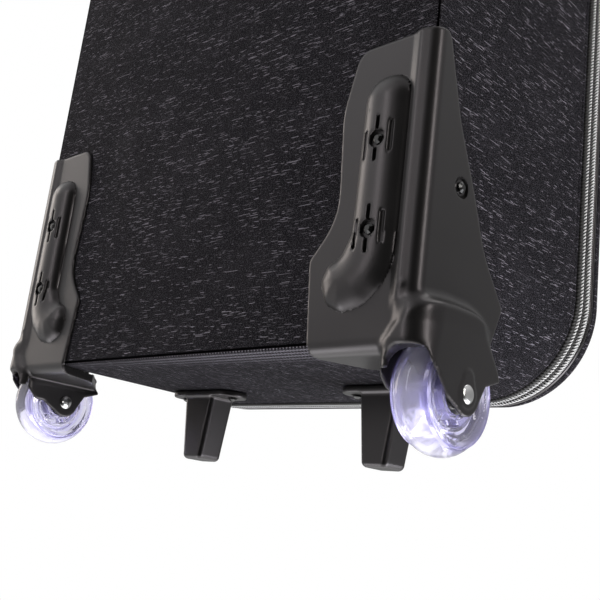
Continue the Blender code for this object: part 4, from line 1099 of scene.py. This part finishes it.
def zips(rows):
    """Tapes, coils, piping and the cloth hinge."""
    strip("body_zip_tape_cloth", *BODY_TAPE, "bag_body")
    strip("lid_zip_tape_cloth", *LID_TAPE, "lid")
    for name, y, slant, body in (("body", 181.1, 0.55, "bag_body"), ("lid", 182.9, -0.55, "lid")):
        points, cyclic = row_points(0.5, y, -2)
        size = (0.62, 1.0, 0.55)
        sewn_row(rows, name + "_zip_coil", points, cyclic, 1.9, size, slant, "coil", body, "zip_tape")
    ring, _ = case_ring(1.5, RING)
    out = outward(ring)
    rings = []
    for angle in math.tau * np.arange(12) / 12:
        rings.append(at_depth(ring + out * 2.0 * math.cos(angle), PIPING_Y + 2.3 * math.sin(angle)))
    points, faces = loft(rings, True, True)
    nodes = ["lid_edge_piping"]
    solid("lid_smooth_piping", points, faces, "piping", "lid", "trim_cord", nodes, 80, reach=1.0)
    hinge_strip()


def row_graph():
    """Small rounded loops set along a curve: a zip's coil, or the stitches of a seam."""
    sizes = ("Pitch", "High", "Across", "Long", "Slant")
    graph = Graph("sewn_row", {**dict.fromkeys(sizes, "NodeSocketFloat"), "Material": "NodeSocketMaterial"})
    path = graph.resampled("Pitch")
    loop = graph.node("GeometryNodeMeshUVSphere", values={0: 6, 1: 4, 2: 1.0})
    points = graph.node("GeometryNodeCurveToPoints", {"mode": "EVALUATED"}, {0: path})
    turn = graph.node("GeometryNodeCurveToPoints", {"mode": "EVALUATED"}, {0: path}, 3)
    lean = graph.node("ShaderNodeCombineXYZ", values={0: graph.given("Slant")})
    turned_by = graph.node("FunctionNodeRotateRotation", {"rotation_space": "LOCAL"}, {0: turn, 1: lean})
    values = {0: graph.given("High"), 1: graph.given("Across"), 2: graph.given("Long")}
    size = graph.node("ShaderNodeCombineXYZ", values=values)
    values = {0: points, 2: loop, 5: turned_by, 6: size}
    return graph.finish(graph.node("GeometryNodeInstanceOnPoints", values=values))


def sewn_row(graph, name, points, cyclic, pitch, size, slant, look, body, slot):
    """A row of loops (high, across, long) along points, on its body."""
    high, across, long = (value * MM for value in size)
    values = {"Pitch": pitch * MM, "High": high, "Across": across, "Long": long, "Slant": slant}
    mesh = graph.run_along(points, cyclic, name, values, look)
    mark_edges(mesh, 1.0)
    return piece(name, mesh, look, body, slot, [], 50)


def hinge_strip():
    """The cloth that joins lid and body along the straight left side."""
    low, high = BOTTOM_Z + CORNER_R + 0.3, TOP_Z - CORNER_R - 0.3
    near, far = BODY_TAPE[0], LID_TAPE[1]
    outer, inner = HINGE_X
    section = [(outer, y) for y in np.linspace(near, far, 9)]
    section += [(inner, y) for y in np.linspace(far, near, 9)]
    heights = np.linspace(low, high, 160)
    uv = np.concatenate([np.column_stack((np.full(160, y), heights)) for _, y in section])
    mesh = mesh_of("hinge", *bar(uprights(section, heights)), uv)
    obj = bpy.data.objects.new("cloth_hinge_strip", mesh)
    bpy.context.scene.collection.objects.link(obj)
    mesh.materials.append(LOOKS["binding"])
    mesh.shade_smooth()
    mesh.set_sharp_from_angle(angle=math.radians(50))
    start, end = to_frame([(outer, near, 700.0), (outer, far, 700.0)])
    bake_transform(obj)
    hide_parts("lid_hinge_strip")


# Pocket, straps and handles

POCKET_HALF = (150.0, 210.0)
POCKET_MIDDLE = 756.0
POCKET_CORNER = 20.0
ZIP_HALF = 165.0
PANEL_IN = 8.6


def pocket_ring(inset, count=420):
    """The pocket's outline drawn in by inset, as points (x, z), with the way out of it."""
    half_x, half_z = POCKET_HALF
    corners = [(-half_x, -half_z), (half_x, -half_z), (half_x, half_z), (-half_x, half_z)]
    path = np.array(rounded([(*corner, POCKET_CORNER) for corner in corners], 10))
    edges = np.linalg.norm(np.roll(path, -1, 0) - path, axis=1)
    gone = np.concatenate(([0], np.cumsum(edges)))
    along = np.linspace(0, gone[-1], count, endpoint=False)
    closed_path = np.vstack((path, path[:1]))
    points = np.column_stack([np.interp(along, gone, closed_path[:, axis]) for axis in (0, 1)])
    out = outward(points)
    return points - out * inset, out


def pocket(rows):
    """A flat pouch on the lid, fuller towards its foot, with a zip let into its right side."""
    outline, out = pocket_ring(0)
    count = len(outline)
    front = POCKET_FRONT - 0.4
    profile = [(1.2, POCKET_BACK + 0.15), (0.2, POCKET_BACK + 0.8)]
    depths = (211.0, 213.5, 215.4, 216.4, 216.7, 218.0, 220.2, 222.4, 223.7, 224.0, 225.0)
    profile += [(0.0, y) for y in depths]
    for step in range(1, 7):
        angle = math.pi / 2 * step / 6
        profile.append((6.5 * (1 - math.cos(angle)), front - 6.5 * (1 - math.sin(angle))))
    profile += [(7.6, front - 0.5), (PANEL_IN, front - 0.4)]
    rings, uvs = [], []
    drop = 0.0
    for index in range(len(profile) - 1, -1, -1):
        inset, y = profile[index]
        if index < len(profile) - 1:
            after = profile[index + 1]
            drop += math.hypot(after[0] - inset, after[1] - y)
        rings.insert(0, at_depth(outline - out * inset, y))
        uvs.insert(0, outline - out * PANEL_IN + out * drop)
    for row in range(1, 31):
        share = 1 - row / 30
        flat = (outline - out * PANEL_IN) * (share, 1)
        half_x, half_z = POCKET_HALF
        flat[:, 1] *= 1 - (1 - share) * half_x / half_z
        rings.append(at_depth(flat, front - 0.4))
        uvs.append(flat)
    points, faces = loft(rings, True, False)
    faces.append(tuple(range(count)))
    uv = np.concatenate(uvs)
    x, y, z = points.T
    edge = np.minimum(POCKET_HALF[0] - np.abs(x), POCKET_HALF[1] - np.abs(z))
    inner = smooth_step((edge - 7) / 60)
    fuller = 1.0 + 0.45 * smooth_step((40 - z) / 220)
    folds = wave(np.column_stack((x, z * 0.6)), 70, 11) * 0.45
    folds += wave(np.column_stack((x * 0.5, z)), 26, 12) * 0.14
    on_front = y > front - 1
    points[on_front, 1] += ((2.1 * fuller + folds) * inner)[on_front]
    wall = (y > 211) & (y < 226) & (edge < 3)
    slack = 0.5 * np.sin(np.pi * np.clip((y[wall] - 211) / 15, 0, 1))
    points[wall] += at_depth(out[np.nonzero(wall)[0] % count] * slack[:, None], 0.0)
    slot = (x > 147) & (y > 216.5) & (y < 223.9) & (np.abs(z) < ZIP_HALF)
    points[slot, 0] = 148.9
    points[:, 2] += POCKET_MIDDLE
    mesh = turned_out(mesh_of("pocket_pouch", points, faces, uv), join=True)
    pouch = piece("pocket_cloth_pouch", mesh, "lid_cloth", "lid", "cover_fabric", ["pocket_pouch"], 60)

    heights = np.linspace(-ZIP_HALF + 0.4, ZIP_HALF - 0.4, 120) + POCKET_MIDDLE
    depths = (216.8, 218.5, 220.2, 221.9, 223.6)
    section = [(149.55, y) for y in depths] + [(149.0, y) for y in depths[::-1]]
    uv = np.concatenate([np.column_stack((heights, np.full(120, y))) for _, y in section])
    points, faces = bar(uprights(section, heights))
    solid("pocket_zip_tape_cloth", points, faces, "tape", "lid", "zip_tape", ["pocket_zip_tape"], 50, uv)
    for name, y, slant in (("back", 219.4, 1), ("front", 221.0, -1)):
        points = [(149.7, y, height) for height in (heights[0] + 2, heights[-1] - 2)]
        size, label = (0.45, 0.85, 0.45), "pocket_zip_coil_" + name
        sewn_row(rows, label, points, False, 1.6, size, 0.5 * slant, "coil", "lid", "zip_tape")
    flat, _ = pocket_ring(11.0)
    points = at_depth(flat + (0, POCKET_MIDDLE), front + 0.05)
    size, label = (0.32, 0.32, 1.15), "pocket_edge_stitches"
    sewn_row(rows, label, points, True, 3.4, size, 0.0, "thread", "lid", "cover_fabric")


STRAP_HALF = 185.6
STRAP_AT = {"lower": 420.0, "upper": 1090.0}
BOX_STITCH = ((-14, -15), (14, 15), (14, -15), (-14, 15), (-14, -15), (14, -15), (14, 15), (-14, 15))


def hold_down_straps(rows):
    """Webbing straps across the lining, folded under and stitched at their ends."""
    across = np.linspace(-STRAP_HALF, STRAP_HALF, 150)
    for name, height in STRAP_AT.items():
        bow = 1.5 * np.cos(across / STRAP_HALF * math.pi / 2) ** 0.6
        ripple = 0.3 * np.sin(across / 31.0 + height) * (1 - (across / STRAP_HALF) ** 4)
        section = [(-18.4, 0.05), (-19.0, 0.6), (-18.4, 1.2), (-9.0, 1.35), (0.0, 1.4)]
        section += [(9.0, 1.35), (18.4, 1.2), (19.0, 0.6), (18.4, 0.05), (0.0, 0.15)]
        rings = []
        for v, lift in section:
            y = 18.5 + lift + bow * (0.4 + 0.6 * np.cos(v / 19.0)) + ripple * 0.4
            rings.append(np.column_stack((across, y, np.full(150, height + v))))
        uv = np.concatenate([np.column_stack((across, np.full(150, v))) for v, _ in section])
        node = "hold_down_strap_" + name
        strap = solid("webbing_" + node, *bar(rings), "webbing", "bag_body", "webbing", [node], 50, uv)
        for hand, side in SIDES.items():
            points = [(side * (STRAP_HALF - 20) + u, 20.4, height + v) for u, v in BOX_STITCH]
            label = f"{node}_box_stitch_{hand}"
            size = (0.3, 0.3, 1.0)
            sewn_row(rows, label, points, False, 3.0, size, 0.0, "thread", "bag_body", "webbing")


HANDLE_REACH = 45.0
HANDLES = {
    "side_handle": (170.0, lambda u, v, w: (211.6 + w, HANDLE_Y + v, 756.2 + u)),
    "top_handle": (140.0, lambda u, v, w: (u, HANDLE_Y + v, 1463.8 + w)),
}


def path_gap(path, u, v):
    """Distance in the plane to an open path, and how far along it the nearest place is."""
    nearest = np.full(np.broadcast(u, v).shape, 1e9)
    along = np.zeros(nearest.shape)
    gone = 0.0
    for (au, av), (bu, bv) in zip(path, path[1:]):
        eu, ev = bu - au, bv - av
        length = math.hypot(eu, ev)
        share = np.clip(((u - au) * eu + (v - av) * ev) / length ** 2, 0, 1)
        gap = np.hypot(u - au - eu * share, v - av - ev * share)
        along = np.where(gap < nearest, gone + share * length, along)
        nearest = np.minimum(nearest, gap)
        gone += length
    return nearest, along


def handles(rows):
    """Carry handles: rolled webbing looped on two pins, and a ribbed rubber grip."""
    for name, (span, place) in HANDLES.items():
        half = span / 2
        corners = [(-half, -1.5), (-half, -HANDLE_REACH, 22), (half, -HANDLE_REACH, 22), (half, -1.5)]
        path = rounded(corners)

        def strap_field(u, v, w):
            gap, _ = path_gap(path, u, v)
            rolled = np.hypot(gap, w * 1.12) - 3.3 + 0.25 * np.exp(-((gap / 0.5) ** 2))
            eye = smooth_max(np.abs(np.abs(u) - half) - 5.7, np.hypot(v, w) - 4.2, 0.8)
            body = smooth_min(rolled, eye, 2.0)
            pin = 2.8 - np.hypot(v, w) + 0 * u
            return np.maximum(body, pin)

        low, high = (-half - 7, -HANDLE_REACH - 5, -5.2), (half + 7, 5.2, 5.2)
        points, faces = net(strap_field, low, high, 0.75)
        _, along = path_gap(path, points[:, 0], points[:, 1])
        uv = np.column_stack((along, points[:, 2] * 2))
        points = np.column_stack(place(*points.T))
        label, node = name + "_rolled_webbing", name + "_strap"
        solid(label, points, faces, "webbing", name, "webbing", [node], 50, uv)

        reach = half - 30.0
        outer = [(3.9, reach), (5.0, reach), (5.8, reach - 1.0)]
        for mark in np.linspace(reach - 1.6, -reach + 1.6, 161):
            rib = 0.42 * (0.5 + 0.5 * math.cos(mark * math.tau / 6.0)) ** 0.5
            outer.append((5.55 + rib - 0.35 * (abs(mark) > reach - 6), mark))
        outer += [(5.8, -reach + 1.0), (5.0, -reach), (3.9, -reach)]
        points, faces = turned(outer, 40, (0, -HANDLE_REACH, 0))
        points = np.column_stack(place(*points.T))
        solid(name + "_ribbed_grip", points, faces, "grip", name, "grip", [name + "_grip"], reach=0.6)
        for end, u in (("near", -half), ("far", half)):
            line = [place(u, v, 3.15) for v in (-7.0, -20.0)]
            label, size = f"{name}_stitches_{end}", (0.3, 0.3, 0.95)
            sewn_row(rows, label, line, False, 2.6, size, 0.0, "thread", name, "webbing")


# Stage

# The photo's camera: its direction, tilt and roll in degrees, and its place and lens in millimetres.
CAMERA_TURN = (45.62, -14.07, 6.97)
CAMERA_PLACE = (497.56, -371.04, -47.62)
CAMERA_LENS = 55.33

# Each lamp's name, place and aim in millimetres, size in metres, power and colour.
LAMPS = (
    ("warm_left_lamp", (-3675, -750, 1125), (150, 0, 150), (1.2, 2.25), 27, (1.0, 0.90, 0.82)),
    ("white_right_lamp", (2756, -400, 920), (207, 0, 120), (0.35, 1.92), 26, (1.0, 0.97, 0.93)),
    ("back_strip_lamp", (-420, -1620, 590), (190, 0, 130), (0.22, 1.3), 4.5, (1.0, 0.96, 0.95)),
    ("low_right_lamp", (520, 420, -330), (206, 130, 60), (0.4, 0.4), 4, (0.95, 0.96, 1.0)),
    ("low_left_lamp", (-700, -420, -800), (150, 0, 60), (0.5, 0.4), 2, (0.97, 0.98, 1.0)),
    ("top_lamp", (200, 900, 2600), (0, 100, 900), (1.6, 1.6), 14, (1.0, 0.98, 0.96)),
)
FLOOR_REACH = 6.0


def lamp(name, at, aim, size, power, colour):
    light = bpy.data.lights.new(name, "AREA")
    light.shape = "RECTANGLE"
    light.size, light.size_y = size
    light.energy = power
    light.color = colour
    obj = bpy.data.objects.new(name, light)
    bpy.context.scene.collection.objects.link(obj)
    at = Vector(to_frame([at])[0])
    aim = Vector(to_frame([aim])[0])
    obj.location = at
    obj.rotation_euler = (aim - at).to_track_quat("-Z", "Y").to_euler()


def stage():
    """Camera, lamps, white world and a pale floor that hides nothing seen from below it."""
    scene = bpy.context.scene
    scene.view_settings.view_transform = "Standard"
    az, el, roll = (math.radians(angle) for angle in CAMERA_TURN)
    forward = Vector((-math.sin(az) * math.cos(el), math.cos(az) * math.cos(el), -math.sin(el)))
    right = forward.cross(Vector((0, 0, 1))).normalized()
    up = right.cross(forward)
    across = right * math.cos(roll) + up * math.sin(roll)
    upright = up * math.cos(roll) - right * math.sin(roll)
    data = bpy.data.cameras.new("photo_camera")
    data.lens = CAMERA_LENS
    data.sensor_width = 36
    data.clip_start = 0.01
    camera = bpy.data.objects.new("photo_camera", data)
    scene.collection.objects.link(camera)
    turn = Matrix((across, upright, -forward)).transposed().to_4x4()
    place = Vector(to_frame([CAMERA_PLACE])[0])
    camera.matrix_world = Matrix.Translation(place) @ turn
    scene.camera = camera

    for lit in LAMPS:
        lamp(*lit)

    world = bpy.data.worlds.new("white_room")
    scene.world = world
    world.use_nodes = True
    room = Look.__new__(Look)
    room.tree = world.node_tree
    room.tree.nodes.clear()
    path = room.tree.nodes.new("ShaderNodeLightPath")
    seen = Wire(room, path.outputs["Is Camera Ray"])
    glass = Wire(room, path.outputs["Is Transmission Ray"])
    way = room.node("ShaderNodeTexCoord")
    facing = room.node("ShaderNodeVectorMath", {"operation": "DOT_PRODUCT"}, {0: way, 1: OPEN_SIDE}, 1)
    height = room.node("ShaderNodeSeparateXYZ", values={0: way}, output=2)
    level = height.ramp(-0.75, -0.40, 2.2, 0.34) + height.ramp(0.15, 0.6, 0.0, 0.26)
    behind = room.node("ShaderNodeVectorMath", {"operation": "DOT_PRODUCT"}, {0: way, 1: LEFT_SIDE}, 1)
    walls = facing.ramp(0.42, 0.78, 1.0, 0.0) * behind.ramp(0.45, 0.85, 1.0, 1.9) * level
    strength = walls.maths("MAXIMUM", seen).maths("MAXIMUM", glass)
    shade = room.node("ShaderNodeBackground", values={"Color": (1, 1, 1, 1), "Strength": strength})
    room.node("ShaderNodeOutputWorld", values={"Surface": shade})

    look = Look("pale_floor")
    cloud = look.noise(look.place(), 6.0, 4.0)
    path = look.tree.nodes.new("ShaderNodeLightPath")
    below = look.node("ShaderNodeNewGeometry", output=6)
    paint = look.node(
        "ShaderNodeBsdfPrincipled",
        values={"Base Color": look.blend(cloud, grey(0.78), grey(0.82)), "Roughness": 0.7},
    )
    through = look.node("ShaderNodeBsdfTransparent")
    open_to = Wire(look, path.outputs["Is Camera Ray"]) * below
    for kind in ("Shadow", "Transmission", "Glossy"):
        open_to = open_to.maths("MAXIMUM", Wire(look, path.outputs[f"Is {kind} Ray"]))
    mixed = look.node("ShaderNodeMixShader", values={0: open_to, 1: paint, 2: through})
    look.node("ShaderNodeOutputMaterial", values={"Surface": mixed})
    mesh = bpy.data.meshes.new("pale_floor")
    corners = [(u * FLOOR_REACH, v * FLOOR_REACH, 0) for u, v in ((-1, -1), (1, -1), (1, 1), (-1, 1))]
    mesh.from_pydata(corners, [], [(0, 1, 2, 3)])
    mesh.materials.append(look.material)
    floor = bpy.data.objects.new("pale_floor", mesh)
    floor.location.z = -0.0005
    scene.collection.objects.link(floor)


# What each look is for, by how the names of its solids start.
NODE_LOOKS = {
    "steel": ("wheel_bearing",),
    "screw_steel": ("housing_screw", "foot_screw"),
    "black_steel": (
        "back_nut_plate", "side_nut_plate", "foot_nut_plate",
        "main_slider", "main_pull", "pocket_slider", "pocket_pull",
    ),
    "moulding": ("side_handle_mount", "top_handle_mount"),
}


def dress_nodes():
    """Gives each solid that stays its material."""
    for name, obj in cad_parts.items():
        for look, starts in NODE_LOOKS.items():
            if name.startswith(starts):
                obj.data.materials.clear()
                obj.data.materials.append(LOOKS[look])


def main():
    stage()
    rows = row_graph()
    shells()
    zips(rows)
    cords()
    pocket(rows)
    hold_down_straps(rows)
    handles(rows)
    housings()
    feet()
    wheels()
    dress_nodes()


main()
